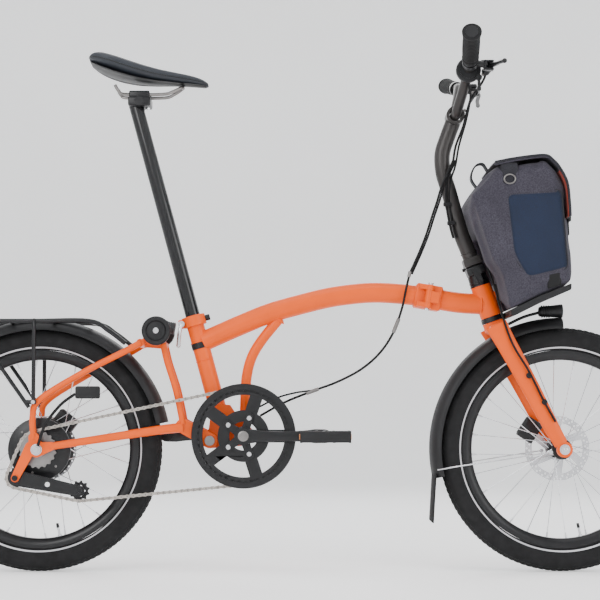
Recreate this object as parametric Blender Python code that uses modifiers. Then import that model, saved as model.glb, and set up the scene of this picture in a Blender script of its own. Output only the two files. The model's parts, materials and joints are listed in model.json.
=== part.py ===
"""Folding bicycle with 20 inch wheels, as an assembly of separate parts.

Units are metres. +X points forward, +Z up, and -Y is the drive side. The origin lies on the ground, midway
between the two wheel centres.
"""

import math

import bmesh
import bpy
from mathutils import Matrix, Vector

# Driving dimensions
WHEELBASE = 1.100
TYRE_RADIUS = 0.257
TYRE_SECTION = 0.027
RIM_OUTER = 0.209
RIM_INNER = 0.188
SPOKES = 16
GAP = 0.0003
FRONT_BORE = 0.0055
REAR_BORE = 0.0067
PIVOT_BORE = 0.0067
CRANK_LENGTH = 0.170
CHAINRING_PITCH = 0.101
SPROCKET_PITCH = 0.039
PULLEY_PITCH = 0.0215
CHAIN_HALF_HEIGHT = 0.0035
CHAIN_Y = -0.049
LEG_Y = 0.062
STAY_Y = 0.064
BAG_HALF_WIDTH = 0.130
BAR_HALF_WIDTH = 0.290

# Places
FRONT_AXLE = Vector((WHEELBASE / 2, 0, TYRE_RADIUS))
REAR_AXLE = Vector((-WHEELBASE / 2, 0, TYRE_RADIUS))
BOTTOM_BRACKET = Vector((-0.1195, 0, 0.285))
REAR_PIVOT = Vector((-0.191, 0, 0.275))
SEAT_TUBE_FOOT = Vector((-0.1643, 0, 0.300))
SEAT_DIRECTION = Vector((-0.2636, 0, 0.9646)).normalized()
HEAD_TUBE_FOOT = Vector((0.406, 0, 0.538))
HEAD_DIRECTION = Vector((-0.3304, 0, 0.9438)).normalized()
HEAD_TUBE_LENGTH = 0.073
HINGE = Vector((0.2705, 0, 0.5785))
HINGE_FORWARD = Vector((0.9854, 0, -0.170)).normalized()
STEM_HINGE = Vector((0.3690, 0, 0.645))
GUIDE_PULLEY = Vector((-0.594, 0, 0.198))
JOCKEY_WHEEL = Vector((-0.462, 0, 0.171))
ROLLER = Vector((-0.3027, 0, 0.505))
BAG_FLAP_HINGE = Vector((0.402, 0, 0.8535))

# Colours: red, green, blue, metallic, roughness
FINISHES = {
    "orange_paint": (0.80, 0.17, 0.02, 0.1, 0.35),
    "black_paint": (0.015, 0.015, 0.017, 0.0, 0.30),
    "black_plastic": (0.020, 0.020, 0.022, 0.0, 0.55),
    "dark_metal": (0.060, 0.062, 0.066, 0.9, 0.40),
    "steel": (0.55, 0.55, 0.56, 1.0, 0.28),
    "rubber": (0.018, 0.018, 0.018, 0.0, 0.80),
    "slate_cover": (0.050, 0.065, 0.085, 0.0, 0.50),
    "bag_fabric": (0.15, 0.14, 0.17, 0.0, 0.90),
}

MODEL = bpy.data.collections.new("folding_bicycle")
CUTTERS = bpy.data.collections.new("cutters")


def clear_scene():
    for obj in list(bpy.data.objects):
        bpy.data.objects.remove(obj)
    bpy.context.scene.collection.children.link(MODEL)
    bpy.context.scene.collection.children.link(CUTTERS)


def finish_material(name):
    material = bpy.data.materials.new(name)
    material.use_nodes = True
    shader = material.node_tree.nodes["Principled BSDF"]
    red, green, blue, metallic, roughness = FINISHES[name]
    shader.inputs["Base Color"].default_value = (red, green, blue, 1)
    shader.inputs["Metallic"].default_value = metallic
    shader.inputs["Roughness"].default_value = roughness
    return material


# Shapes. Each returns a mesh object that isn't in a collection yet.


def object_of(bm, matrix=None):
    mesh = bpy.data.meshes.new("shape")
    bmesh.ops.recalc_face_normals(bm, faces=bm.faces)
    bm.to_mesh(mesh)
    bm.free()
    obj = bpy.data.objects.new("shape", mesh)
    if matrix is not None:
        obj.matrix_world = matrix
    return obj


def as_mesh(source):
    """The evaluated curve or modified mesh as a plain mesh object, its caps welded on."""
    scene = bpy.context.scene.collection
    scene.objects.link(source)
    bpy.context.view_layer.update()
    mesh = bpy.data.meshes.new_from_object(source.evaluated_get(bpy.context.evaluated_depsgraph_get()))
    matrix = source.matrix_world.copy()
    bpy.data.objects.remove(source)
    bm = bmesh.new()
    bm.from_mesh(mesh)
    bmesh.ops.remove_doubles(bm, verts=bm.verts, dist=1e-6)
    bpy.data.meshes.remove(mesh)
    return object_of(bm, matrix)


def cylinder(start, end, radius, end_radius=None, sides=12):
    start, end = Vector(start), Vector(end)
    bm = bmesh.new()
    bmesh.ops.create_cone(
        bm,
        cap_ends=True,
        segments=sides,
        radius1=radius,
        radius2=radius if end_radius is None else end_radius,
        depth=(end - start).length,
    )
    turn = (end - start).to_track_quat("Z", "Y").to_matrix().to_4x4()
    return object_of(bm, Matrix.Translation((start + end) / 2) @ turn)


def across(centre, low_y, high_y, radius, end_radius=None, sides=12):
    """A cylinder that lies along Y."""
    x, z = centre[0], centre[-1]
    return cylinder((x, low_y, z), (x, high_y, z), radius, end_radius, sides)


def box(low, high, matrix=None, edge=0.0):
    """A box between two corners, in the frame that the matrix gives, with its edges chamfered."""
    low, high = Vector(low), Vector(high)
    bm = bmesh.new()
    bmesh.ops.create_cube(bm, size=1)
    bmesh.ops.scale(bm, vec=high - low, verts=bm.verts)
    bmesh.ops.translate(bm, vec=(low + high) / 2, verts=bm.verts)
    if edge:
        bmesh.ops.bevel(bm, geom=bm.edges, offset=edge, segments=1, affect="EDGES")
    return object_of(bm, matrix)


def smooth_path(points, per_span=3):
    """A Catmull-Rom curve through the points."""
    knots = [Vector(p) for p in points]
    knots = [2 * knots[0] - knots[1]] + knots + [2 * knots[-1] - knots[-2]]
    path = []
    for a, b, c, d in zip(knots, knots[1:], knots[2:], knots[3:]):
        for step in range(per_span):
            t = step / per_span
            square = (2 * a - 5 * b + 4 * c - d) * t**2
            cube = (3 * b - a - 3 * c + d) * t**3
            path.append(0.5 * (2 * b + (c - a) * t + square + cube))
    return path + [knots[-2]]


def tube(points, radius, end_radius=None, level=3, closed=False, flatten=1.0, y=0.0):
    """A round tube along points. It can taper, and be flattened across Y and moved to a new y."""
    curve = bpy.data.curves.new("tube", "CURVE")
    curve.dimensions = "3D"
    curve.bevel_depth = radius
    curve.bevel_resolution = level
    curve.use_fill_caps = not closed
    spline = curve.splines.new("POLY")
    spline.points.add(len(points) - 1)
    spline.use_cyclic_u = closed
    taper = 1.0 if end_radius is None else end_radius / radius
    for index, (knot, place) in enumerate(zip(spline.points, points)):
        knot.co = (*place, 1)
        knot.radius = 1 + (taper - 1) * index / (len(points) - 1)
    made = as_mesh(bpy.data.objects.new("tube", curve))
    if flatten != 1.0 or y:
        made.data.transform(Matrix.Translation((0, y, 0)) @ Matrix.Diagonal((1, flatten, 1, 1)))
    return made


def plate(outline, centre_y, thickness, holes=()):
    """A flat outline of (x, z) points, standing in the XZ plane."""
    curve = bpy.data.curves.new("plate", "CURVE")
    curve.dimensions = "2D"
    curve.fill_mode = "BOTH"
    curve.extrude = thickness / 2
    for loop in (outline, *holes):
        spline = curve.splines.new("POLY")
        spline.points.add(len(loop) - 1)
        spline.use_cyclic_u = True
        for knot, (x, z) in zip(spline.points, loop):
            knot.co = (x, z, 0, 1)
    made = bpy.data.objects.new("plate", curve)
    made.location = (0, centre_y, 0)
    made.rotation_euler = (math.pi / 2, 0, 0)
    return as_mesh(made)


def turned(profile, centre, steps=32):
    """A ring about a line along Y: the closed profile holds (radius, y) points."""
    mesh = bpy.data.meshes.new("turned")
    count = len(profile)
    mesh.from_pydata(
        [(radius, 0, y) for radius, y in profile], [(i, (i + 1) % count) for i in range(count)], []
    )
    made = bpy.data.objects.new("turned", mesh)
    screw = made.modifiers.new("Screw", "SCREW")
    screw.steps = steps
    screw.render_steps = steps
    screw.use_merge_vertices = True
    screw.merge_threshold = 1e-5
    made.rotation_euler = (-math.pi / 2, 0, 0)
    made.location = (centre[0], 0, centre[2])
    return as_mesh(made)


def loft(rings):
    """A closed skin over rings of points with equal counts, for a form between unlike sections."""
    bm = bmesh.new()
    rows = [[bm.verts.new(p) for p in ring] for ring in rings]
    count = len(rows[0])
    for near, far in zip(rows, rows[1:]):
        for i in range(count):
            j = (i + 1) % count
            bm.faces.new((near[i], near[j], far[j], far[i]))
    bm.faces.new(rows[0][::-1])
    bm.faces.new(rows[-1])
    return object_of(bm)


def arc(centre, radius, start_deg, end_deg, count):
    """(x, z) points on an arc, with degrees from +X towards +Z."""
    angles = [math.radians(start_deg + (end_deg - start_deg) * i / (count - 1)) for i in range(count)]
    return [(centre[0] + radius * math.cos(a), centre[-1] + radius * math.sin(a)) for a in angles]


def circle(centre, radius, count=20):
    return arc(centre, radius, 0, 360 - 360 / count, count)


def capsule(start, end, radius, end_radius=None, count=7):
    """The outline of a bar with round ends between two (x, z) centres."""
    end_radius = radius if end_radius is None else end_radius
    lean = math.degrees(math.atan2(end[-1] - start[-1], end[0] - start[0]))
    far_end = arc(end, end_radius, lean - 90, lean + 90, count)
    return far_end + arc(start, radius, lean + 90, lean + 270, count)


def solid(name, finish, base, add=(), cut=()):
    """Names the base, gives it its finish, and joins or cuts the other shapes with Booleans."""
    base.name = base.data.name = name
    base.data.materials.append(bpy.data.materials.get(finish) or finish_material(finish))
    base.data.shade_smooth()
    base.data.set_sharp_from_angle(angle=math.radians(35))
    MODEL.objects.link(base)
    for operation, shapes in (("UNION", add), ("DIFFERENCE", cut)):
        for shape in shapes:
            shape.name = f"{name}_{operation.lower()}"
            shape.hide_render = True
            shape.display_type = "WIRE"
            CUTTERS.objects.link(shape)
            shape.parent = base
            shape.matrix_parent_inverse = base.matrix_world.inverted()
            modifier = base.modifiers.new(operation.title(), "BOOLEAN")
            modifier.operation = operation
            modifier.object = shape
    return base


def frame_of(origin, x_axis, z_axis):
    """The matrix of a frame with these X and Z axes."""
    y_axis = z_axis.cross(x_axis)
    rotation = Matrix((x_axis, y_axis, z_axis)).transposed().to_4x4()
    return Matrix.Translation(origin) @ rotation


def mirrored(points):
    """The points with their other half, mirrored in the plane Y = 0, added."""
    return list(points) + [(x, -y, z) for x, y, z in reversed(points) if abs(y) > 1e-6]


def seat_point(distance):
    return SEAT_TUBE_FOOT + distance * SEAT_DIRECTION


def head_point(distance):
    return HEAD_TUBE_FOOT + distance * HEAD_DIRECTION


# Hinges. In a hinge's own frame X crosses the joint, Z runs along the pin, and the pin is at negative Y.

MAIN_HINGE_FRAME = frame_of(HINGE, HINGE_FORWARD, HINGE_FORWARD.cross(Vector((0, 1, 0))))
STEM_HINGE_FRAME = frame_of(STEM_HINGE, HEAD_DIRECTION, Vector((0, 1, 0)).cross(HEAD_DIRECTION))
SEAT_FORWARD = Vector((SEAT_DIRECTION.z, 0, -SEAT_DIRECTION.x))
SEAT_FRAME = frame_of(SEAT_TUBE_FOOT, SEAT_FORWARD, SEAT_DIRECTION)
SEAT_LEVER_PIVOT = SEAT_FRAME @ Vector((-0.0270, -0.0212, 0.236))
HEAD_FORWARD = Vector((HEAD_DIRECTION.z, 0, -HEAD_DIRECTION.x))
HEAD_FRAME = frame_of(HEAD_TUBE_FOOT, HEAD_FORWARD, HEAD_DIRECTION)
MAIN_PIN_Y = -0.033
STEM_PIN_Y = -0.0285


def hinge_leaf(frame, side, half_height, block_y, pin_y, knuckle_radius, depth):
    """One leaf's block and knuckles. Side -1 carries the outer knuckles, and side +1 the middle one."""
    ends = sorted((side * 0.0005, side * depth))
    block_low = (ends[0], block_y[0], -half_height)
    block_high = (ends[1], block_y[1], half_height)
    shapes = [box(block_low, block_high, frame, 0.004)]
    third = half_height * 0.5
    reach = half_height - 0.0012
    spans = [(-third + GAP, third - GAP)] if side > 0 else [(-reach, -third), (third, reach)]
    web = sorted((side * 0.0035, side * depth * 0.8))
    for low, high in spans:
        web_low = (web[0], pin_y - 0.006, low + 0.0007)
        web_high = (web[1], block_y[0] + 0.006, high - 0.0007)
        shapes.append(box(web_low, web_high, frame))
        knuckle = cylinder((0, pin_y, low), (0, pin_y, high), knuckle_radius, sides=12)
        knuckle.matrix_world = frame @ knuckle.matrix_world
        shapes.append(knuckle)
    return shapes


def in_frame(shape, frame):
    shape.matrix_world = frame @ shape.matrix_world
    return shape


def hinge_pin(name, frame, pin_y, half_height, radius):
    head = half_height + GAP
    pin = in_frame(cylinder((0, pin_y, -head - 0.002), (0, pin_y, head + 0.002), radius, sides=10), frame)
    caps = []
    for side in (-1, 1):
        cap = cylinder((0, pin_y, side * head), (0, pin_y, side * (head + 0.0035)), radius + 0.0022, sides=10)
        caps.append(in_frame(cap, frame))
    return solid(name, "steel", pin, add=caps)


def pin_bore(frame, pin_y, radius):
    return in_frame(cylinder((0, pin_y, -0.05), (0, pin_y, 0.05), radius, sides=10), frame)


def build_main_frame():
    tube_path = smooth_path(
        (
            (-0.208, 0, 0.484),
            (-0.129, 0, 0.519),
            (-0.065, 0, 0.545),
            (0.000, 0, 0.5635),
            (0.062, 0, 0.5785),
            (0.126, 0, 0.587),
            (0.1687, 0, 0.5885),
            (0.211, 0, 0.586),
            (0.246, 0, 0.5822),
        ),
        1,
    )
    strut_path = smooth_path(
        (
            (-0.044, 0, 0.535),
            (-0.0823, 0, 0.488),
            (-0.1036, 0, 0.452),
            (-0.1142, 0, 0.4135),
            (-0.1174, 0, 0.371),
            (-0.119, 0, 0.297),
        ),
        1,
    )
    gusset = (
        arc(REAR_PIVOT, 0.0165, 130, 285, 7)
        + arc(BOTTOM_BRACKET, 0.021, 265, 400, 7)
        + [(-0.132, 0.322), (-0.150, 0.350), (-0.172, 0.352), (-0.190, 0.330), (-0.194, 0.300)]
    )
    shapes = [
        tube(tube_path, 0.0215),
        tube(strut_path, 0.011, level=2),
        across(BOTTOM_BRACKET, -0.034, 0.034, 0.020, sides=14),
        across(REAR_PIVOT, -0.0305, 0.0305, 0.013),
        plate(gusset, -0.0185, 0.006),
        plate(gusset, 0.0185, 0.006),
        in_frame(cylinder((-0.024, 0.0310, 0), (-0.006, 0.0310, 0), 0.006, sides=8), MAIN_HINGE_FRAME),
        *hinge_leaf(MAIN_HINGE_FRAME, -1, 0.026, (-0.024, 0.026), MAIN_PIN_Y, 0.008, 0.028),
    ]
    bores = [
        cylinder(seat_point(-0.08), seat_point(0.27), 0.0163, sides=14),
        across(BOTTOM_BRACKET, -0.05, 0.05, 0.0093, sides=12),
        across(REAR_PIVOT, -0.05, 0.05, PIVOT_BORE, sides=10),
        pin_bore(MAIN_HINGE_FRAME, MAIN_PIN_Y, 0.0042),
    ]
    seat_tube = cylinder(seat_point(0.004), seat_point(0.248), 0.0185, sides=14)
    return [solid("main_frame", "orange_paint", seat_tube, add=shapes, cut=bores)]


def build_rear_pivot_axle():
    caps = [across(REAR_PIVOT, s * 0.0393, s * 0.0435, 0.0105, sides=10) for s in (-1, 1)]
    axle = across(REAR_PIVOT, -0.040, 0.040, 0.006, sides=10)
    return [solid("rear_pivot_axle", "steel", axle, add=caps)]


def build_main_hinge_lever():
    """The clamp lever on the far side. It lies back along the tube, on a pivot parallel to the hinge pin."""
    arm = box((-0.105, 0.0400, -0.011), (-0.0050, 0.0465, 0.011), MAIN_HINGE_FRAME, 0.0025)
    return [solid("main_hinge_lever", "black_plastic", arm)]


def build_seat_clamp():
    ear = box((-0.0330, -0.0110, 0.2270), (-0.0200, 0.0110, 0.2460), SEAT_FRAME)
    knob = in_frame(cylinder((0.022, 0, 0.2365), (0.0345, 0, 0.2365), 0.0065, sides=10), SEAT_FRAME)
    bore = cylinder(seat_point(0.20), seat_point(0.30), 0.0188, sides=14)
    collar = cylinder(seat_point(0.2255), seat_point(0.2475), 0.0250, sides=14)
    bolt = in_frame(cylinder((-0.027, -0.0125, 0.236), (-0.027, 0.0165, 0.236), 0.0045, sides=8), SEAT_FRAME)
    return [solid("seat_clamp", "orange_paint", collar, add=[ear, knob, bolt], cut=[bore])]


def build_seat_clamp_lever():
    """The quick release lever, hanging from the clamp's rear ear on the drive side."""
    x, y, z = SEAT_LEVER_PIVOT
    path = smooth_path(((x, y, z), (x - 0.004, y - 0.004, z - 0.02), (x - 0.006, y - 0.003, z - 0.046)), 1)
    arm = tube(path, 0.0042, level=1)
    hub = across((x, z), y - 0.0035, y + 0.0035, 0.0068, sides=10)
    return [solid("seat_clamp_lever", "steel", hub, add=[arm])]


def build_front_frame():
    tube_path = smooth_path(
        ((0.292, 0, 0.5745), (0.320, 0, 0.5695), (0.350, 0, 0.566), (0.390, 0, 0.564)), 1
    )
    leaf = hinge_leaf(MAIN_HINGE_FRAME, 1, 0.026, (-0.024, 0.026), MAIN_PIN_Y, 0.008, 0.028)
    bores = [
        cylinder(head_point(-0.02), head_point(0.09), 0.0150, sides=14),
        pin_bore(MAIN_HINGE_FRAME, MAIN_PIN_Y, 0.0042),
    ]
    head_tube = cylinder(head_point(0), head_point(HEAD_TUBE_LENGTH), 0.0235, 0.0215, sides=14)
    mount = in_frame(cylinder((0.012, 0, 0.040), (0.030, 0, 0.040), 0.009, sides=8), HEAD_FRAME)
    shapes = [tube(tube_path, 0.022), mount, *leaf]
    return [solid("front_frame", "orange_paint", head_tube, add=shapes, cut=bores)]


def build_headset_lower():
    bore = cylinder(head_point(-0.03), head_point(0.02), 0.0150, sides=14)
    ring = cylinder(head_point(-0.0113), head_point(-0.0004), 0.0250, 0.0240, sides=14)
    return [solid("headset_lower", "black_paint", ring, cut=[bore])]


def blade(side):
    """One fork blade, oval in section and tapering towards the dropout."""
    path = smooth_path(
        (
            (0.409, 0, 0.517),
            (0.428, 0, 0.482),
            (0.478, 0, 0.390),
            (0.520, 0, 0.309),
            (0.543, 0, 0.268),
        ),
        1,
    )
    return tube(path, 0.0235, 0.0145, flatten=0.45, y=side * LEG_Y)


def build_fork():
    shapes = []
    for side in (-1, 1):
        shapes.append(blade(side))
        shapes.append(across(FRONT_AXLE, side * 0.0545, side * 0.0675, 0.0165))
    shapes.append(box((-0.017, -0.068, -0.036), (0.017, 0.068, -0.017), HEAD_FRAME, 0.006))
    shapes.append(cylinder(head_point(-0.030), head_point(-0.0117), 0.0240, sides=14))
    steerer = cylinder(head_point(-0.025), head_point(0.100), 0.0142, sides=14)
    bores = [across(FRONT_AXLE, -0.09, 0.09, FRONT_BORE, sides=10)]
    return [solid("fork", "orange_paint", steerer, add=shapes, cut=bores)]


def build_front_axle():
    nuts = [across(FRONT_AXLE, s * 0.0680, s * 0.0760, 0.0095, sides=8) for s in (-1, 1)]
    return [solid("front_axle", "steel", across(FRONT_AXLE, -0.0790, 0.0790, 0.0050, sides=10), add=nuts)]


def build_stem_hinge_base():
    """The lower half of the handlepost hinge, clamped round the steerer above the head tube."""
    neck_foot = head_point(HEAD_TUBE_LENGTH + 0.0004)
    neck = cylinder(neck_foot, STEM_HINGE - 0.012 * HEAD_DIRECTION, 0.0215, 0.0200, sides=14)
    leaf = hinge_leaf(STEM_HINGE_FRAME, -1, 0.020, (-0.020, 0.022), STEM_PIN_Y, 0.0075, 0.020)
    pin = cylinder((0, STEM_PIN_Y, -0.023), (0, STEM_PIN_Y, 0.023), 0.0037, sides=10)
    in_frame(pin, STEM_HINGE_FRAME)
    bore = cylinder(head_point(0.03), head_point(0.1008), 0.0146, sides=14)
    return [solid("stem_hinge_base", "black_paint", neck, add=[*leaf, pin], cut=[bore])]


STEM_LEVER_PIVOT = Vector((-0.006, 0.0265, 0.0))


def build_stem_hinge_lever():
    """The clamp lever at the rear of the handlepost hinge, on a pivot parallel to the hinge pin."""
    arm = box((-0.040, 0.0245, -0.0095), (-0.003, 0.0300, 0.0095), STEM_HINGE_FRAME, 0.002)
    return [solid("stem_hinge_lever", "black_plastic", arm)]


def build_stem():
    path = smooth_path(
        (
            STEM_HINGE + 0.012 * HEAD_DIRECTION,
            (0.3575, 0, 0.676),
            (0.3395, 0, 0.723),
            (0.317, 0, 0.804),
            (0.305, 0, 0.845),
            (0.303, 0, 0.886),
            (0.314, 0, 0.922),
            (0.3262, 0, 0.9545),
        ),
        1,
    )
    leaf = hinge_leaf(STEM_HINGE_FRAME, 1, 0.020, (-0.020, 0.022), STEM_PIN_Y, 0.0075, 0.020)
    clamp = cylinder((0.330, -0.026, 0.9665), (0.330, 0.026, 0.9665), 0.0195, sides=14)
    bores = [
        cylinder((0.330, -0.04, 0.9665), (0.330, 0.04, 0.9665), 0.0131, sides=14),
        pin_bore(STEM_HINGE_FRAME, STEM_PIN_Y, 0.0042),
    ]
    return [solid("stem", "dark_metal", tube(path, 0.0168), add=[clamp, *leaf], cut=bores)]


# Cockpit

BAR_HALF = (
    (0.339, -0.290, 1.086),
    (0.348, -0.165, 1.0570),
    (0.3495, -0.125, 1.0490),
    (0.343, -0.080, 1.0150),
    (0.332, -0.045, 0.9740),
    (0.330, -0.026, 0.9665),
    (0.330, 0.000, 0.9665),
)


def bar_point(y):
    """A point on the straight outer part of the handlebar."""
    share = (abs(y) - 0.165) / (BAR_HALF_WIDTH - 0.165)
    return Vector((0.348 - 0.009 * share, y, 1.057 + 0.029 * share))


def build_handlebar():
    return [solid("handlebar", "dark_metal", tube(bar_path(), 0.0108, level=2))]


def build_grips():
    made = []
    for name, side in (("grip_right", -1), ("grip_left", 1)):
        bore_end = bar_point(side * (BAR_HALF_WIDTH + 0.0008))
        bore = cylinder(bar_point(side * 0.150), bore_end, 0.0112, sides=12)
        flare = cylinder(bar_point(side * 0.240), bar_point(side * 0.295), 0.0165, 0.0190, sides=14)
        grip = cylinder(bar_point(side * 0.170), bar_point(side * 0.260), 0.0160, 0.0168, sides=14)
        made.append(solid(name, "rubber", grip, add=[flare], cut=[bore]))
    return made


BRAKE_LEVER_Y = 0.150
BRAKE_LEVER_PIVOT = Vector((0.3905, -BRAKE_LEVER_Y, 1.048))


def bar_path():
    return mirrored([*BAR_HALF[:1], *smooth_path(BAR_HALF[1:], 2)])


def bar_bore():
    return tube(bar_path(), 0.0114, level=2)


def build_brakes():
    """The master cylinder and lever on each side of the bar."""
    made = []
    for name, side in (("right", -1), ("left", 1)):
        bore = bar_bore()
        ring = cylinder(bar_point(side * 0.146), bar_point(side * 0.160), 0.0165, sides=14)
        y = side * 0.153
        arm = cylinder((0.358, y, 1.053), (0.384, y, 1.048), 0.007, sides=8)
        barrel = cylinder((0.384, side * 0.118, 1.041), (0.3905, side * 0.1385, 1.048), 0.0090, sides=12)
        near_y, far_y = side * BRAKE_LEVER_Y - 0.010, side * BRAKE_LEVER_Y + 0.010
        ears = [box((0.3800, near_y, z - 0.002), (0.3975, far_y, z + 0.002)) for z in (1.0395, 1.0565)]
        tie = box((0.3770, near_y, 1.0380), (0.3830, far_y, 1.0585))
        shapes = [arm, barrel, tie, *ears]
        made.append(solid(f"brake_body_{name}", "black_paint", ring, add=shapes, cut=[bore]))
        x, z = BRAKE_LEVER_PIVOT.x, BRAKE_LEVER_PIVOT.z
        y = side * BRAKE_LEVER_Y
        hub = cylinder((x, y, z - 0.0062), (x, y, z + 0.0062), 0.0055, sides=10)
        path = smooth_path(
            (
                (x + 0.001, y, z),
                (0.401, side * 0.185, 1.046),
                (0.402, side * 0.225, 1.041),
                (0.407, side * 0.262, 1.036),
            ),
            2,
        )
        lever = tube(path, 0.0050, 0.0042, level=2)
        made.append(solid(f"brake_lever_{name}", "black_paint", lever, add=[hub]))
    return made


THUMB_LEVER_PIVOT = Vector((0.3690, -0.1310, 1.0270))


def build_shifter():
    """The rounded control pod inboard of the right brake, and its thumb lever."""
    centre = Vector((0.3485, -0.1180, 1.0445))
    low, high = centre - Vector((0.026, 0.008, 0.026)), centre + Vector((0.026, 0.008, 0.026))
    pod = solid("shifter_pod", "black_plastic", box(low, high, edge=0.006), cut=[bar_bore()])
    hub = across((0.3690, 1.0270), -0.1345, -0.1265, 0.0065, sides=10)
    arm = box((0.3660, -0.1345, 0.9990), (0.3720, -0.1275, 1.0270))
    return [pod, solid("thumb_lever", "black_plastic", hub, add=[arm])]


# Seat

RAIL_Y = 0.022
RAIL_HALF = (
    (-0.395, 0.034, 1.0290),
    (-0.388, 0.028, 1.0180),
    (-0.374, RAIL_Y, 1.0110),
    (-0.295, RAIL_Y, 1.0110),
    (-0.272, 0.018, 1.0180),
    (-0.255, 0.010, 1.0275),
    (-0.252, 0.000, 1.0275),
)
SADDLE_SECTIONS = (
    (-0.449, 0.048, 1.091, 1.080),
    (-0.438, 0.068, 1.102, 1.071),
    (-0.410, 0.080, 1.098, 1.056),
    (-0.372, 0.076, 1.086, 1.042),
    (-0.330, 0.054, 1.073, 1.036),
    (-0.290, 0.036, 1.0635, 1.034),
    (-0.246, 0.026, 1.057, 1.033),
    (-0.212, 0.020, 1.048, 1.030),
    (-0.198, 0.012, 1.038, 1.028),
)


def rail_path():
    return smooth_path(mirrored(RAIL_HALF), 1)


def build_seatpost():
    """The post with its clamp head, which the saddle rails run through."""
    head = box((-0.368, -0.030, 0.9860), (-0.320, 0.030, 1.0190), edge=0.004)
    post = cylinder(seat_point(0.150), seat_point(0.7180), 0.0156, sides=14)
    return [solid("seatpost", "black_paint", post, add=[head], cut=[tube(rail_path(), 0.0040, level=1)])]


def build_saddle():
    rings = []
    for x, half_width, top, bottom in SADDLE_SECTIONS:
        middle, half_height = (top + bottom) / 2, (top - bottom) / 2
        angles = [math.tau * i / 14 for i in range(14)]
        ring = []
        for angle in angles:
            lift = math.copysign(abs(math.cos(angle)) ** 0.6, math.cos(angle))
            ring.append((x, half_width * math.sin(angle), middle + half_height * lift))
        rings.append(ring)
    return [
        solid("saddle", "slate_cover", loft(rings)),
        solid("saddle_rails", "steel", tube(rail_path(), 0.0035, level=1)),
    ]


# Wheels


def build_tyre_and_rim(end, centre):
    base = RIM_OUTER + GAP * 2
    middle = TYRE_RADIUS - TYRE_SECTION
    half_opening = math.degrees(math.acos((base - middle) / TYRE_SECTION))
    section = []
    for index in range(9):
        angle = math.radians(half_opening * (index / 4 - 1))
        section.append((middle + TYRE_SECTION * math.cos(angle), TYRE_SECTION * math.sin(angle)))
    half_rim = ((RIM_OUTER, 0.014), (0.199, 0.0145), (RIM_INNER, 0.007))
    rim = [*half_rim, *((radius, -y) for radius, y in reversed(half_rim))]
    return [
        solid(f"{end}_tyre", "rubber", turned(section, centre)),
        solid(f"{end}_rim", "black_paint", turned(rim, centre)),
    ]


def spokes(centre, flange_radius, flange_y):
    """Spokes that leave the flanges at a slant, alternately left and right."""
    made = []
    for index in range(SPOKES):
        side = 1 if index % 2 else -1
        outer = math.tau * index / SPOKES
        inner = outer + side * 0.5
        start = Vector((math.cos(inner) * flange_radius, side * flange_y, math.sin(inner) * flange_radius))
        reach = RIM_INNER - 2 * GAP
        end = Vector((math.cos(outer) * reach, 0, math.sin(outer) * reach))
        made.append(cylinder(centre + start, centre + end, 0.0013, sides=4))
    return made


def build_front_wheel():
    hub = across(FRONT_AXLE, -0.050, 0.0435, 0.0125, sides=14)
    flanges = [across(FRONT_AXLE, y - 0.002, y + 0.002, 0.0215, sides=14) for y in (-0.028, 0.028)]
    bore = across(FRONT_AXLE, -0.06, 0.06, FRONT_BORE, sides=10)
    cut_rotor = across(FRONT_AXLE, 0.04, 0.06, 0.0060, sides=10)
    rotor = across(FRONT_AXLE, 0.0440, 0.0460, 0.0700, sides=24)
    return [
        *build_tyre_and_rim("front", FRONT_AXLE),
        solid("front_hub", "black_paint", hub, add=[*flanges, *spokes(FRONT_AXLE, 0.018, 0.028)], cut=[bore]),
        solid("front_rotor", "steel", rotor, cut=[cut_rotor]),
    ]


def build_rear_wheel():
    motor = across(REAR_AXLE, -0.034, 0.034, 0.0660, sides=24)
    hub = across(REAR_AXLE, -0.0430, 0.0450, 0.0200, sides=14)
    bore = across(REAR_AXLE, -0.09, 0.09, REAR_BORE, sides=10)
    rotor = across(REAR_AXLE, 0.0455, 0.0475, 0.0700, sides=24)
    rear_spokes = spokes(REAR_AXLE, 0.063, 0.026)
    sprocket_bore = across(REAR_AXLE, -0.07, -0.03, REAR_BORE, sides=10)
    sprocket = across(REAR_AXLE, -0.0505, -0.0475, SPROCKET_PITCH - CHAIN_HALF_HEIGHT - 0.0012, sides=20)
    collar = across(REAR_AXLE, -0.0560, -0.0435, 0.0170, sides=14)
    return [
        *build_tyre_and_rim("rear", REAR_AXLE),
        solid("rear_motor_hub", "black_paint", hub, add=[motor, *rear_spokes], cut=[bore]),
        solid("rear_rotor", "steel", rotor, cut=[across(REAR_AXLE, 0.03, 0.06, 0.0072, sides=10)]),
        solid("rear_sprocket", "steel", sprocket, add=[collar], cut=[sprocket_bore]),
    ]


def caliper(name, axle, angle_deg, disc_y):
    """A brake caliper that straddles the rotor's edge, held in a frame turned about the axle."""
    angle = math.radians(angle_deg)
    outward = Vector((math.cos(angle), 0, math.sin(angle)))
    frame = frame_of(axle, outward, Vector((0, 1, 0)).cross(outward) * -1)
    body = box((0.052, disc_y - 0.0125, -0.024), (0.092, disc_y + 0.0090, 0.024), frame, 0.004)
    slot = box((0.040, disc_y - 0.0022, -0.05), (0.074, disc_y + 0.0022, 0.05), frame)
    return solid(name, "black_paint", body, cut=[slot])


# Rear frame


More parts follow.
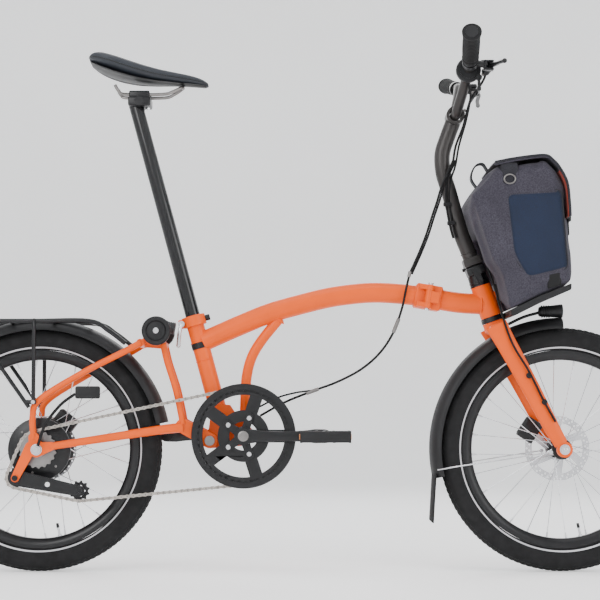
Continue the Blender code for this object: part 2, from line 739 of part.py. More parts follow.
def build_rear_frame():
    shapes = []
    for side in (-1, 1):
        lug_y = side * 0.0348
        stay_y = side * STAY_Y
        stay = smooth_path(
            (
                (-0.248, lug_y, 0.303),
                (-0.300, side * 0.040, 0.297),
                (-0.420, side * 0.053, 0.279),
                (-0.523, stay_y, 0.2635),
            ),
            1,
        )
        riser = smooth_path(
            (
                (-0.556, stay_y, 0.279),
                (-0.559, stay_y, 0.325),
                (-0.545, stay_y, 0.361),
                (-0.457, stay_y, 0.416),
                (-0.372, side * 0.060, 0.460),
                (-0.337, side * 0.050, 0.480),
            ),
            1,
        )
        strut = smooth_path(
            (
                (-0.290, side * 0.030, 0.478),
                (-0.281, side * 0.030, 0.440),
                (-0.262, side * 0.034, 0.380),
                (-0.247, lug_y, 0.310),
            ),
            1,
        )
        shapes += [
            tube(stay, 0.0105, 0.0076, level=2),
            tube(riser, 0.0068, level=1),
            tube(strut, 0.0070, level=1),
            plate(capsule((-0.248, 0.306), REAR_PIVOT, 0.0150, 0.0160, 5), lug_y, 0.0070),
            plate(capsule(REAR_AXLE, (-0.520, 0.2640), 0.0160, 0.0090, 5), side * 0.0662, 0.0060),
            plate(capsule((-0.556, 0.282), REAR_AXLE, 0.0110, 0.0150, 5), side * 0.0658, 0.0064),
            tube(((-0.337, side * 0.030, 0.480), (ROLLER.x, side * 0.030, ROLLER.z)), 0.0060, level=1),
        ]
    shapes += [
        across((-0.337, 0.480), -0.052, 0.052, 0.0085, sides=12),
        across((-0.290, 0.476), -0.034, 0.034, 0.0075, sides=12),
        across((-0.2485, 0.3065), -0.036, 0.036, 0.0100, sides=12),
        across(ROLLER, -0.050, 0.050, 0.0080, sides=12),
        tube(((-0.290, 0, 0.476), (-0.337, 0, 0.480)), 0.0075, level=1),
        tube(((-0.290, 0, 0.470), (-0.2962, 0, 0.5120)), 0.0058, level=1),
        plate(capsule((-0.562, 0.262), GUIDE_PULLEY, 0.0120, 0.0085), -0.0660, 0.0050),
    ]
    bores = [
        across(REAR_PIVOT, -0.06, 0.06, PIVOT_BORE, sides=10),
        across(REAR_AXLE, -0.09, 0.09, REAR_BORE, sides=10),
        across(GUIDE_PULLEY, -0.09, -0.05, 0.0043, sides=10),
    ]
    axle = across(ROLLER, -0.0700, 0.0700, 0.0040, sides=10)
    return [solid("rear_frame", "orange_paint", axle, add=shapes[::-1], cut=bores)]


def build_rear_axle():
    nuts = [across(REAR_AXLE, s * 0.0695, s * 0.0790, 0.0105, sides=8) for s in (-1, 1)]
    return [solid("rear_axle", "steel", across(REAR_AXLE, -0.0830, 0.0830, 0.0060, sides=10), add=nuts)]


def build_suspension_block():
    block = cylinder((-0.2870, 0, 0.5155), (-0.2670, 0, 0.5120), 0.0130, sides=14)
    return [solid("suspension_block", "rubber", block)]


def build_rollers():
    """The two small wheels that the folded bicycle rolls on."""
    made = []
    for name, side in (("roller_wheel_right", -1), ("roller_wheel_left", 1)):
        ends = sorted((side * 0.0510, side * 0.0685))
        bore = across(ROLLER, -0.09, 0.09, 0.0044, sides=10)
        dishes = [across(ROLLER, side * y, side * (y + 0.012), 0.0200, sides=14) for y in (0.0425, 0.0645)]
        made.append(solid(name, "rubber", across(ROLLER, *ends, 0.0305, sides=24), cut=[bore, *dishes]))
    return made


# Drive


def belt_outline(circles, offset):
    """The taut belt round circles of (centre, radius): (x, z) points at an offset from the pitch line."""
    outline = []
    count = len(circles)
    leaving = []
    for index in range(count):
        (a, ra), (b, rb) = circles[index], circles[(index + 1) % count]
        line = Vector((b.x - a.x, b.z - a.z))
        heading = math.atan2(line.y, line.x)
        leaving.append(heading - math.pi / 2 - math.asin((rb - ra) / line.length))
    for index in range(count):
        centre, radius = circles[index]
        start = math.degrees(leaving[index - 1])
        end = math.degrees(leaving[index])
        while end < start:
            end += 360
        outline += arc(centre, radius + offset, start, end, max(5, int((end - start) / 11)))
    return outline


BELT = (
    (BOTTOM_BRACKET, CHAINRING_PITCH),
    (REAR_AXLE, SPROCKET_PITCH),
    (GUIDE_PULLEY, PULLEY_PITCH),
    (JOCKEY_WHEEL, PULLEY_PITCH),
)


def build_chain():
    outer = belt_outline(BELT, CHAIN_HALF_HEIGHT)
    inner = belt_outline(BELT, -CHAIN_HALF_HEIGHT)
    return [solid("chain", "steel", plate(outer, CHAIN_Y, 0.0075, holes=[inner]))]


def build_tensioner():
    arm = plate(capsule(GUIDE_PULLEY, JOCKEY_WHEEL, 0.0165, 0.0115), -0.0580, 0.0030)
    pins = [
        across(GUIDE_PULLEY, -0.0730, -0.0440, 0.0040, sides=10),
        across(JOCKEY_WHEEL, -0.0610, -0.0440, 0.0040, sides=10),
    ]
    pulley_radius = PULLEY_PITCH - CHAIN_HALF_HEIGHT - 0.0012
    made = [solid("tensioner_arm", "black_paint", arm, add=pins)]
    for name, centre in (("guide_pulley", GUIDE_PULLEY), ("jockey_wheel", JOCKEY_WHEEL)):
        pulley = across(centre, -0.0525, -0.0455, pulley_radius, sides=14)
        bore = across(centre, -0.06, -0.04, 0.0045, sides=10)
        made.append(solid(name, "black_plastic", pulley, cut=[bore]))
    return made


def ring_window(inner, outer, middle_deg, half_deg):
    """A window between two radii about the bottom bracket."""
    inner_half = half_deg * 0.8
    outside = arc(BOTTOM_BRACKET, outer, middle_deg - half_deg, middle_deg + half_deg, 5)
    return outside + arc(BOTTOM_BRACKET, inner, middle_deg + inner_half, middle_deg - inner_half, 3)


def build_chainring():
    """The chainring and its guard, held apart by spacers."""
    windows = [ring_window(0.054, 0.086, 36 + 72 * i, 27) for i in range(5)]
    hole = circle(BOTTOM_BRACKET, 0.0300, 18)
    ring_outline = circle(BOTTOM_BRACKET, CHAINRING_PITCH - CHAIN_HALF_HEIGHT - 0.0015, 32)
    ring = plate(ring_outline, CHAIN_Y, 0.0030, holes=[hole, *windows])
    guard = plate(circle(BOTTOM_BRACKET, 0.1090, 32), -0.0553, 0.0022, holes=[hole, *windows])
    spacers = []
    for index in range(5):
        for radius in (0.039, 0.0905):
            x, z = arc(BOTTOM_BRACKET, radius, 72 * index, 72 * index, 2)[0]
            spacers.append(across((x, z), -0.0556, -0.0485, 0.0045, sides=6))
    return [solid("chainring", "black_paint", guard, add=[ring, *spacers])]


def build_cranks():
    made = []
    for name, side in (("crank_right", -1), ("crank_left", 1)):
        pedal_axle = BOTTOM_BRACKET - Vector((side * CRANK_LENGTH, 0, 0))
        arm = plate(capsule(BOTTOM_BRACKET, pedal_axle, 0.0185, 0.0140), side * 0.0690, 0.0120)
        shapes = [across(pedal_axle, *sorted((side * 0.070, side * 0.150)), 0.0062, sides=10)]
        if side < 0:
            for index in range(5):
                x, z = arc(BOTTOM_BRACKET, 0.0430, 72 * index, 72 * index, 2)[0]
                shapes.append(plate(capsule(BOTTOM_BRACKET, (x, z), 0.0100, 0.0075, 5), -0.0605, 0.0060))
            bores = [across(BOTTOM_BRACKET, -0.09, 0.09, 0.0088, sides=12)]
        else:
            shapes.append(across(BOTTOM_BRACKET, -0.0750, 0.0700, 0.0084, sides=12))
            bores = []
        made.append(solid(name, "black_paint", arm, add=shapes, cut=bores))
    return made


def build_pedals():
    made = []
    for name, side in (("pedal_right", -1), ("pedal_left", 1)):
        centre = BOTTOM_BRACKET - Vector((side * CRANK_LENGTH, 0, 0))
        low_y, high_y = sorted((side * 0.0790, side * 0.1690))
        body_low = (centre.x - 0.0520, low_y, centre.z - 0.0125)
        body_high = (centre.x + 0.0520, high_y, centre.z + 0.0125)
        body = box(body_low, body_high, edge=0.006)
        bore = across(centre, *sorted((side * 0.05, side * 0.1505)), 0.0068, sides=10)
        windows = []
        for x in (centre.x - 0.0270, centre.x + 0.0270):
            window_low = (x - 0.0150, low_y + 0.012, centre.z - 0.03)
            window_high = (x + 0.0150, high_y - 0.012, centre.z + 0.03)
            windows.append(box(window_low, window_high))
        made.append(solid(name, "black_plastic", body, cut=[bore, *windows]))
    return made


# Mudguards and rack


def mudguard(name, axle, outer, start_deg, end_deg, half_width, side_drop, steps):
    """A thin curved shell over a tyre: a grid bent round the wheel, then thickened inwards."""
    bm = bmesh.new()
    bmesh.ops.create_grid(bm, x_segments=steps, y_segments=4, size=1)
    for vert in bm.verts:
        angle = math.radians(start_deg + (end_deg - start_deg) * (vert.co.x + 1) / 2)
        lean = vert.co.y * math.pi / 2
        radius = outer - side_drop * (1 - math.cos(lean))
        point = (math.cos(angle) * radius, math.sin(lean) * half_width, math.sin(angle) * radius)
        vert.co = axle + Vector(point)
    shell = object_of(bm)
    wall = shell.modifiers.new("Solidify", "SOLIDIFY")
    wall.thickness = 0.0018
    wall.offset = 0
    wall.use_even_offset = True
    return solid(name, "black_plastic", as_mesh(shell))


def build_mudguards():
    return [
        mudguard("front_mudguard", FRONT_AXLE, 0.2765, 89, 193, 0.0325, 0.022, 15),
        mudguard("rear_mudguard", REAR_AXLE, 0.2740, 12, 158, 0.0325, 0.022, 20),
    ]


def build_rack():
    rail = smooth_path(
        (
            (-0.366, -0.0660, 0.4780),
            (-0.400, -0.0700, 0.5040),
            (-0.442, -0.0720, 0.5250),
            (-0.560, -0.0720, 0.5250),
            (-0.735, -0.0720, 0.5250),
            (-0.757, -0.0600, 0.5250),
            (-0.765, 0.0000, 0.5250),
        ),
        1,
    )
    shapes = []
    for side in (-1, 1):
        y = side * 0.0770
        shapes += [
            tube(((-0.556, side * 0.0735, 0.525), (-0.556, y, 0.510), (-0.556, y, 0.356)), 0.0042, level=1),
            tube(((-0.690, side * 0.0735, 0.525), (-0.685, y, 0.515), (-0.565, y, 0.345)), 0.0042, level=1),
        ]
        shapes.append(tube(((-0.5750, y, 0.3560), (-0.5500, y, 0.3560)), 0.0046, level=1))
    for x in (-0.442, -0.700):
        shapes.append(across((x, 0.525), -0.0725, 0.0725, 0.0042, sides=8))
    return [solid("rear_rack", "black_paint", tube(mirrored(rail), 0.0048, level=1), add=shapes)]


# Front light and luggage


def build_headlight():
    body = cylinder((0.5060, 0, 0.5480), (0.5570, 0, 0.5495), 0.0110, 0.0146, sides=14)
    bracket = tube(((0.5140, 0, 0.5480), (0.4750, 0, 0.5370), (0.4420, 0, 0.5215)), 0.0032, level=1)
    return [solid("headlight", "black_plastic", body, add=[bracket])]


BAG_OUTLINE = (
    (0.3450, 0.7853),
    (0.3656, 0.8055),
    (0.3825, 0.8240),
    (0.4020, 0.8470),
    (0.5060, 0.8610),
    (0.5290, 0.8390),
    (0.5460, 0.8076),
    (0.5600, 0.6392),
    (0.5581, 0.6010),
    (0.4913, 0.5740),
    (0.4310, 0.5450),
    (0.4111, 0.6186),
    (0.3907, 0.6432),
)
ROOM_OUTLINE = (
    (0.3640, 0.7900),
    (0.4080, 0.8350),
    (0.5010, 0.8480),
    (0.5180, 0.8330),
    (0.5340, 0.8050),
    (0.5480, 0.6400),
    (0.5460, 0.6090),
    (0.4890, 0.5860),
    (0.4480, 0.5680),
    (0.4480, 0.7130),
)
FLAP_OUTLINE = (
    (0.4010, 0.8480),
    (0.5063, 0.8622),
    (0.5300, 0.8400),
    (0.5474, 0.8080),
    (0.5530, 0.7400),
    (0.5570, 0.7400),
    (0.5508, 0.8090),
    (0.5330, 0.8425),
    (0.5085, 0.8665),
    (0.4010, 0.8525),
)
TRAY_OUTLINE = (
    (0.4325, 0.5355),
    (0.4380, 0.5335),
    (0.4920, 0.5600),
    (0.5570, 0.5885),
    (0.5577, 0.6003),
    (0.4913, 0.5735),
    (0.4325, 0.5450),
)


def carrier_gap():
    """The recess that lets the bag slide down over its carrier block."""
    return box((0.30, -0.0225, 0.50), (0.4390, 0.0225, 0.6270))


def build_bag():
    width = 2 * BAG_HALF_WIDTH
    stem_recess = box((0.30, -0.054, 0.580), (0.422, 0.054, 0.706))
    room = plate(ROOM_OUTLINE, 0, width - 0.016)
    mouth = box((0.410, -BAG_HALF_WIDTH + 0.008, 0.800), (0.500, BAG_HALF_WIDTH - 0.008, 0.95))
    rooms = [room, mouth, stem_recess, carrier_gap()]
    return [
        solid("bag_body", "bag_fabric", plate(BAG_OUTLINE, 0, width), cut=rooms),
        solid("bag_base_tray", "black_plastic", plate(TRAY_OUTLINE, 0, width - 0.006), cut=[carrier_gap()]),
        solid("bag_flap", "bag_fabric", plate(FLAP_OUTLINE, 0, width + 0.004)),
    ]


def build_carrier_block():
    block = box((0.0250, -0.0200, 0.020), (0.0420, 0.0200, 0.062), HEAD_FRAME, 0.003)
    lug = in_frame(cylinder((0.008, 0, 0.040), (0.0304, 0, 0.040), 0.0093, sides=8), HEAD_FRAME)
    return [solid("carrier_block", "black_plastic", block, cut=[lug])]


# Hoses that lie along one part each


def build_hoses():
    stem_route = (
        (0.3600, -0.0420, 0.9960),
        (0.3470, -0.0240, 0.9450),
        (0.3300, -0.0215, 0.9000),
        (0.3230, -0.0205, 0.8600),
        (0.3120, -0.0205, 0.8250),
        (0.3090, -0.0205, 0.7800),
        (0.3170, -0.0210, 0.7300),
        (0.3240, -0.0215, 0.7030),
    )
    frame_route = (
        (0.2300, -0.0300, 0.6260),
        (0.2230, -0.0290, 0.5950),
        (0.2130, -0.0270, 0.5500),
        (0.1940, -0.0200, 0.4990),
        (0.1650, -0.0120, 0.4570),
        (0.1260, -0.0060, 0.4240),
        (0.0760, -0.0040, 0.3980),
        (0.0240, -0.0040, 0.3790),
        (-0.0350, -0.0040, 0.3550),
        (-0.0860, -0.0060, 0.3270),
    )
    return [
        solid("brake_hose_stem", "rubber", tube(smooth_path(stem_route, 1), 0.0026, level=1)),
        solid("brake_hose_frame", "rubber", tube(smooth_path(frame_route, 1), 0.0026, level=1)),
    ]


# Assembly: an empty on each joint's axis holds what turns or slides there.


def pivot(name, place, pieces, parent=None):
    empty = bpy.data.objects.new(name, None)
    empty.empty_display_size = 0.03
    empty.matrix_world = Matrix.Translation(place)
    MODEL.objects.link(empty)
    for piece in pieces:
        piece.parent = empty
        piece.matrix_parent_inverse = Matrix.Translation(-Vector(place))
    if parent:
        empty.parent = parent
        empty.matrix_parent_inverse = Matrix.Translation(-parent.matrix_world.translation)
    return empty


def build_rear():
    rear_frame = pivot(
        "rear_fold",
        REAR_PIVOT,
        [
            *build_rear_frame(),
            *build_rear_axle(),
            *build_suspension_block(),
            *build_rack(),
            *build_chain(),
            caliper("rear_caliper", REAR_AXLE, 52, 0.0465),
        ],
    )
    wheel = build_rear_wheel()
    pivot("rear_wheel_spin", REAR_AXLE, wheel[:-1], rear_frame)
    pivot("sprocket_spin", REAR_AXLE, wheel[-1:], rear_frame)
    right_roller, left_roller = build_rollers()
    pivot("roller_spin_right", ROLLER, [right_roller], rear_frame)
    pivot("roller_spin_left", ROLLER, [left_roller], rear_frame)
    arm, guide, jockey = build_tensioner()
    swing = pivot("tensioner_swing", GUIDE_PULLEY, [arm], rear_frame)
    pivot("guide_pulley_spin", GUIDE_PULLEY, [guide], rear_frame)
    pivot("jockey_wheel_spin", JOCKEY_WHEEL, [jockey], swing)
    return rear_frame


def build_front(front_guard):
    front = pivot(
        "main_hinge",
        MAIN_HINGE_FRAME @ Vector((0, MAIN_PIN_Y, 0)),
        [*build_front_frame(), *build_headset_lower(), *build_carrier_block()],
    )
    body, tray, flap = build_bag()
    bag = pivot("bag_slide", (0.439, 0, 0.56), [body, tray], front)
    pivot("bag_flap_hinge", BAG_FLAP_HINGE, [flap], bag)
    fork = pivot(
        "steering",
        HEAD_TUBE_FOOT,
        [
            *build_fork(),
            *build_front_axle(),
            *build_stem_hinge_base(),
            *build_headlight(),
            front_guard,
            caliper("front_caliper", FRONT_AXLE, 146, 0.0450),
        ],
        front,
    )
    pivot("front_wheel_spin", FRONT_AXLE, build_front_wheel(), fork)
    pivot("stem_lever_pivot", STEM_HINGE_FRAME @ STEM_LEVER_PIVOT, build_stem_hinge_lever(), fork)
    right, right_lever, left, left_lever = build_brakes()
    pod, thumb = build_shifter()
    hose_stem, hose_frame = build_hoses()
    stem = pivot(
        "stem_fold",
        STEM_HINGE_FRAME @ Vector((0, STEM_PIN_Y, 0)),
        [*build_stem(), *build_handlebar(), *build_grips(), right, left, pod, hose_stem],
        fork,
    )
    for lever, side in ((right_lever, -1), (left_lever, 1)):
        place = (BRAKE_LEVER_PIVOT.x, side * BRAKE_LEVER_Y, BRAKE_LEVER_PIVOT.z)
        pivot(f"{lever.name}_pull", place, [lever], stem)
    pivot("thumb_lever_push", THUMB_LEVER_PIVOT, [thumb], stem)
    return hose_frame


def build_seat():
    post = pivot("seatpost_slide", seat_point(0.248), [*build_seatpost(), *build_saddle()])
    pivot("seat_lever_pivot", SEAT_LEVER_PIVOT, build_seat_clamp_lever())
    return post


def build_drive():
    crank = pivot("crank_spin", BOTTOM_BRACKET, [*build_cranks(), *build_chainring()])
    right, left = build_pedals()
    pivot("pedal_spin_right", BOTTOM_BRACKET + Vector((CRANK_LENGTH, 0, 0)), [right], crank)
    pivot("pedal_spin_left", BOTTOM_BRACKET - Vector((CRANK_LENGTH, 0, 0)), [left], crank)


def main():
    clear_scene()
    build_main_frame()
    build_rear_pivot_axle()
    hinge_pin("main_hinge_pin", MAIN_HINGE_FRAME, MAIN_PIN_Y, 0.026, 0.0037)
    pivot("hinge_lever_pivot", MAIN_HINGE_FRAME @ Vector((-0.008, 0.043, 0)), build_main_hinge_lever())
    build_seat_clamp()
    front_guard, rear_guard = build_mudguards()
    rear_frame = build_rear()
    rear_guard.parent = rear_frame
    rear_guard.matrix_parent_inverse = Matrix.Translation(-REAR_PIVOT)
    build_front(front_guard)
    build_seat()
    build_drive()


main()
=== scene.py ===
import json
import math

import bmesh
import bpy
from mathutils import Matrix, Vector, noise

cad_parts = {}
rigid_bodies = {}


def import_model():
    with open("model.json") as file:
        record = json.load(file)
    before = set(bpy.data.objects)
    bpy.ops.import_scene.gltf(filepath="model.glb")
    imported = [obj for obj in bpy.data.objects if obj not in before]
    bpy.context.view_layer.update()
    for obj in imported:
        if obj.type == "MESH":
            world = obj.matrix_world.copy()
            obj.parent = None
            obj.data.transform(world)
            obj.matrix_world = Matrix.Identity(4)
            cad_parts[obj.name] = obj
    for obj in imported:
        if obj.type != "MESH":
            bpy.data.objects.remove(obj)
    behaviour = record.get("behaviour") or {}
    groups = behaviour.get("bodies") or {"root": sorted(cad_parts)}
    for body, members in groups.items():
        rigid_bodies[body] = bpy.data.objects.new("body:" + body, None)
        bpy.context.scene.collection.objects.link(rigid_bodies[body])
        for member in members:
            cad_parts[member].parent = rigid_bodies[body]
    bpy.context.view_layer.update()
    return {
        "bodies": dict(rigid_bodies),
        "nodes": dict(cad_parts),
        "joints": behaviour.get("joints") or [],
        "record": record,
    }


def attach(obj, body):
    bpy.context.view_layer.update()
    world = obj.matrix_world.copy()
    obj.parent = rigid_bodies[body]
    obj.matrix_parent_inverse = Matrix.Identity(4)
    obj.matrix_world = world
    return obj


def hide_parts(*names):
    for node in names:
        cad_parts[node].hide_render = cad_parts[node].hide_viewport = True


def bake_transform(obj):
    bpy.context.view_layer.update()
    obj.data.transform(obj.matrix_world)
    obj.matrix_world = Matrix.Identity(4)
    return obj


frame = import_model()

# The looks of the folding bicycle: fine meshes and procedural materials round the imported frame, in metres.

FRONT_AXLE = Vector((0.55, 0, 0.257))
REAR_AXLE = Vector((-0.55, 0, 0.257))
BOTTOM_BRACKET = Vector((-0.1195, 0, 0.285))
REAR_PIVOT = Vector((-0.191, 0, 0.275))
SEAT_FOOT = Vector((-0.1643, 0, 0.3))
SEAT_DIRECTION = Vector((-0.2636, 0, 0.9646)).normalized()
SEAT_FORWARD = Vector((SEAT_DIRECTION.z, 0, -SEAT_DIRECTION.x))
HEAD_FOOT = Vector((0.406, 0, 0.538))
HEAD_DIRECTION = Vector((-0.3304, 0, 0.9438)).normalized()
HEAD_FORWARD = Vector((HEAD_DIRECTION.z, 0, -HEAD_DIRECTION.x))
HINGE = Vector((0.2705, 0, 0.5785))
HINGE_FORWARD = Vector((0.9854, 0, -0.17)).normalized()
STEM_HINGE = Vector((0.369, 0, 0.645))
GUIDE_PULLEY = Vector((-0.594, 0, 0.198))
JOCKEY_WHEEL = Vector((-0.462, 0, 0.171))
ROLLER = Vector((-0.3027, 0, 0.505))
MAIN_PIN_Y = -0.033
STEM_PIN_Y = -0.0285
PIN_RADIUS = 0.0037
PIN_BORE = 0.0042
STEERER_BORE = 0.015
REAR_BORE = 0.0067
CRANK_LENGTH = 0.17
CHAIN_Y = -0.049
CHAIN_PITCH = 0.0127
BAG_HALF_WIDTH = 0.13
STITCH_SPACING = 0.0042
Y_AXIS = Vector((0, 1, 0))


# Materials

GRAIN_DEPTH = 0.0002
THREAD_DEPTH = 0.0004


def node(tree, kind, **values):
    made = tree.nodes.new(kind)
    for key, value in values.items():
        if key in made.inputs:
            made.inputs[key].default_value = value
        else:
            setattr(made, key, value)
    return made


def start_material(name, metallic=0.0, coat=0.0, sheen=0.0, specular=0.5):
    """A material with a Principled shader whose constant values are on its own sockets."""
    material = bpy.data.materials.new(name)
    material.use_nodes = True
    tree = material.node_tree
    shader = tree.nodes["Principled BSDF"]
    shader.inputs["Metallic"].default_value = metallic
    shader.inputs["Coat Weight"].default_value = coat
    shader.inputs["Coat Roughness"].default_value = 0.12
    shader.inputs["Sheen Weight"].default_value = sheen
    shader.inputs["Specular IOR Level"].default_value = specular
    place = node(tree, "ShaderNodeTexCoord").outputs["Object"]
    return material, tree, shader, place


def noise_of(tree, place, scale, detail=4.0, stretch=(1, 1, 1)):
    mapping = node(tree, "ShaderNodeMapping")
    mapping.inputs["Scale"].default_value = stretch
    texture = node(tree, "ShaderNodeTexNoise", Scale=scale, Detail=detail)
    tree.links.new(place, mapping.inputs["Vector"])
    tree.links.new(mapping.outputs["Vector"], texture.inputs["Vector"])
    return texture.outputs["Fac"]


def spread(tree, factor, low, high):
    """Maps a noise factor's middle range to low..high."""
    ranged = node(tree, "ShaderNodeMapRange")
    for key, value in (("From Min", 0.3), ("From Max", 0.7), ("To Min", low), ("To Max", high)):
        ranged.inputs[key].default_value = value
    tree.links.new(factor, ranged.inputs["Value"])
    return ranged.outputs["Result"]


def blend_colors(tree, factor, first, second):
    mix = node(tree, "ShaderNodeMix", data_type="RGBA")
    tree.links.new(factor, mix.inputs["Factor"])
    for socket, color in ((mix.inputs[6], first), (mix.inputs[7], second)):
        if isinstance(color, tuple):
            socket.default_value = (*color, 1)
        else:
            tree.links.new(color, socket)
    return mix.outputs[2]


def bumped(tree, shader, height, strength, distance):
    bump = node(tree, "ShaderNodeBump", Strength=strength, Distance=distance)
    tree.links.new(height, bump.inputs["Height"])
    tree.links.new(bump.outputs["Normal"], shader.inputs["Normal"])


def surface(
    name, color, roughness, metallic=0.0, coat=0.0, tint=0.1, tint_scale=30, grain=600, bump=0.15,
    stretch=(1, 1, 1), specular=0.5,
):
    """Paint, plastic, rubber or metal: a slightly uneven colour and roughness over a fine grain."""
    material, tree, shader, place = start_material(name, metallic, coat, specular=specular)
    broad = noise_of(tree, place, tint_scale, 5.0)
    dark = tuple(c * (1 - tint) for c in color)
    light = tuple(min(1.0, c * (1 + tint)) for c in color)
    tree.links.new(blend_colors(tree, spread(tree, broad, 0, 1), dark, light), shader.inputs["Base Color"])
    fine = noise_of(tree, place, grain, 3.0, stretch)
    tree.links.new(spread(tree, fine, roughness - 0.05, roughness + 0.06), shader.inputs["Roughness"])
    bumped(tree, shader, fine, bump, GRAIN_DEPTH)
    return material


def woven(name, color, thread_color, thread=0.0016, roughness=0.88, sheen=0.25):
    """Woven cloth: two sets of threads crossing, with flecks of a second colour and a soft unevenness."""
    material, tree, shader, place = start_material(name, sheen=sheen, specular=0.25)
    split = node(tree, "ShaderNodeSeparateXYZ")
    tree.links.new(place, split.inputs["Vector"])
    along = node(tree, "ShaderNodeMath", operation="ADD")
    tree.links.new(split.outputs["X"], along.inputs[0])
    tree.links.new(split.outputs["Y"], along.inputs[1])
    threads = []
    for source in (along.outputs[0], split.outputs["Z"]):
        scaled = node(tree, "ShaderNodeMath", operation="MULTIPLY")
        scaled.inputs[1].default_value = math.tau / thread
        tree.links.new(source, scaled.inputs[0])
        wave = node(tree, "ShaderNodeMath", operation="SINE")
        tree.links.new(scaled.outputs[0], wave.inputs[0])
        threads.append(wave.outputs[0])
    crossing = node(tree, "ShaderNodeMath", operation="MULTIPLY")
    tree.links.new(threads[0], crossing.inputs[0])
    tree.links.new(threads[1], crossing.inputs[1])
    height = node(tree, "ShaderNodeMapRange")
    height.inputs["From Min"].default_value = -1
    tree.links.new(crossing.outputs[0], height.inputs["Value"])
    flecks = spread(tree, noise_of(tree, place, 420, 2.0), 0, 1)
    ground = blend_colors(tree, flecks, color, thread_color)
    shade = spread(tree, noise_of(tree, place, 14, 3.0), 0.0, 0.35)
    shaded = blend_colors(tree, shade, ground, tuple(c * 0.6 for c in color))
    tree.links.new(shaded, shader.inputs["Base Color"])
    tree.links.new(spread(tree, flecks, roughness - 0.06, roughness + 0.04), shader.inputs["Roughness"])
    bumped(tree, shader, height.outputs["Result"], 0.5, THREAD_DEPTH)
    return material


ORANGE = surface(
    "orange_paint", (0.76, 0.088, 0.0), 0.38, coat=0.04, specular=0.2,
    tint=0.05, tint_scale=18, grain=420, bump=0.04,
)
BLACK = surface(
    "black_paint", (0.005, 0.005, 0.006), 0.34, coat=0.05, specular=0.32, tint=0.2, grain=700, bump=0.06,
)
GLOSS = surface(
    "gloss_black", (0.003, 0.003, 0.004), 0.14, coat=0.3, specular=0.3, tint=0.2, grain=300, bump=0.02,
)
PLASTIC = surface("black_plastic", (0.007, 0.007, 0.008), 0.5, specular=0.3, tint=0.2, grain=1500, bump=0.35)
STEM_GREY = surface(
    "dark_metal", (0.03, 0.027, 0.026), 0.36, metallic=0.35, coat=0.05, specular=0.35,
    tint=0.12, grain=900, bump=0.06,
)
STEEL = surface(
    "steel", (0.58, 0.58, 0.6), 0.26, metallic=1.0, tint=0.1, grain=900, bump=0.1, stretch=(1, 1, 6),
)
DARK_STEEL = surface("dark_steel", (0.2, 0.19, 0.185), 0.36, metallic=1.0, tint=0.2, grain=900, bump=0.15)
CHAIN_STEEL = surface(
    "chain_steel", (0.36, 0.33, 0.3), 0.34, metallic=1.0, tint=0.3, tint_scale=120, grain=1500, bump=0.2,
)
RUBBER = surface("rubber", (0.006, 0.006, 0.0065), 0.7, tint=0.25, grain=1100, bump=0.3, specular=0.25)
TYRE = surface(
    "tyre_rubber", (0.008, 0.008, 0.0085), 0.8, tint=0.3, tint_scale=60, grain=1300, bump=0.4, specular=0.25,
)
REFLECTIVE = surface(
    "reflective_stripe", (0.52, 0.52, 0.54), 0.38, metallic=0.3, tint=0.05, grain=2500, bump=0.15,
)
SADDLE = surface(
    "slate_cover", (0.016, 0.019, 0.025), 0.48, coat=0.02, specular=0.35,
    tint=0.12, tint_scale=25, grain=1900, bump=0.3,
)
SADDLE_EDGE = surface(
    "saddle_base", (0.006, 0.0065, 0.0075), 0.4, specular=0.3, tint=0.2, grain=900, bump=0.15,
)
SILVER = surface("satin_silver", (0.62, 0.62, 0.64), 0.34, metallic=0.9, tint=0.06, grain=900, bump=0.05)
ELASTOMER = surface("elastomer", (0.03, 0.03, 0.032), 0.6, tint=0.2, grain=500, bump=0.3)
AMBER = surface(
    "amber_reflector", (0.75, 0.22, 0.02), 0.18, coat=0.5, tint=0.15, tint_scale=400, grain=1200, bump=0.5,
)
LENS = surface("lens", (0.42, 0.44, 0.47), 0.1, coat=0.8, tint=0.15, tint_scale=250, grain=900, bump=0.4)
BAG_CLOTH = woven("bag_fabric", (0.022, 0.02, 0.029), (0.058, 0.053, 0.07), sheen=0.05)
POCKET_CLOTH = woven(
    "pocket_fabric", (0.0045, 0.0095, 0.027), (0.01, 0.018, 0.044), sheen=0.04, thread=0.0009, roughness=0.7,
)
WEBBING = woven(
    "webbing", (0.009, 0.009, 0.012), (0.024, 0.023, 0.03), sheen=0.06, thread=0.0012, roughness=0.75,
)
LINING = woven(
    "flap_lining", (0.26, 0.028, 0.016), (0.4, 0.045, 0.02), sheen=0.08, thread=0.001, roughness=0.7,
)


# Shapes. Each returns a mesh object that isn't linked yet.


def object_of(bm, matrix=None):
    mesh = bpy.data.meshes.new("shape")
    bmesh.ops.recalc_face_normals(bm, faces=bm.faces)
    bm.to_mesh(mesh)
    bm.free()
    obj = bpy.data.objects.new("shape", mesh)
    if matrix is not None:
        mesh.transform(matrix)
    return obj


def as_mesh(source):
    """The evaluated curve or modified mesh as a plain mesh object in world space, its caps welded on."""
    bpy.context.scene.collection.objects.link(source)
    bpy.context.view_layer.update()
    mesh = bpy.data.meshes.new_from_object(source.evaluated_get(bpy.context.evaluated_depsgraph_get()))
    mesh.transform(source.matrix_world)
    bpy.data.objects.remove(source)
    bm = bmesh.new()
    bm.from_mesh(mesh)
    bmesh.ops.remove_doubles(bm, verts=bm.verts, dist=1e-6)
    bpy.data.meshes.remove(mesh)
    return object_of(bm)


def sheet_shape(bm, thickness, even=False):
    """The open surface as a wall of that thickness."""
    shell = object_of(bm)
    wall = shell.modifiers.new("Solidify", "SOLIDIFY")
    wall.thickness = thickness
    wall.offset = 0
    wall.use_even_offset = even
    return as_mesh(shell)


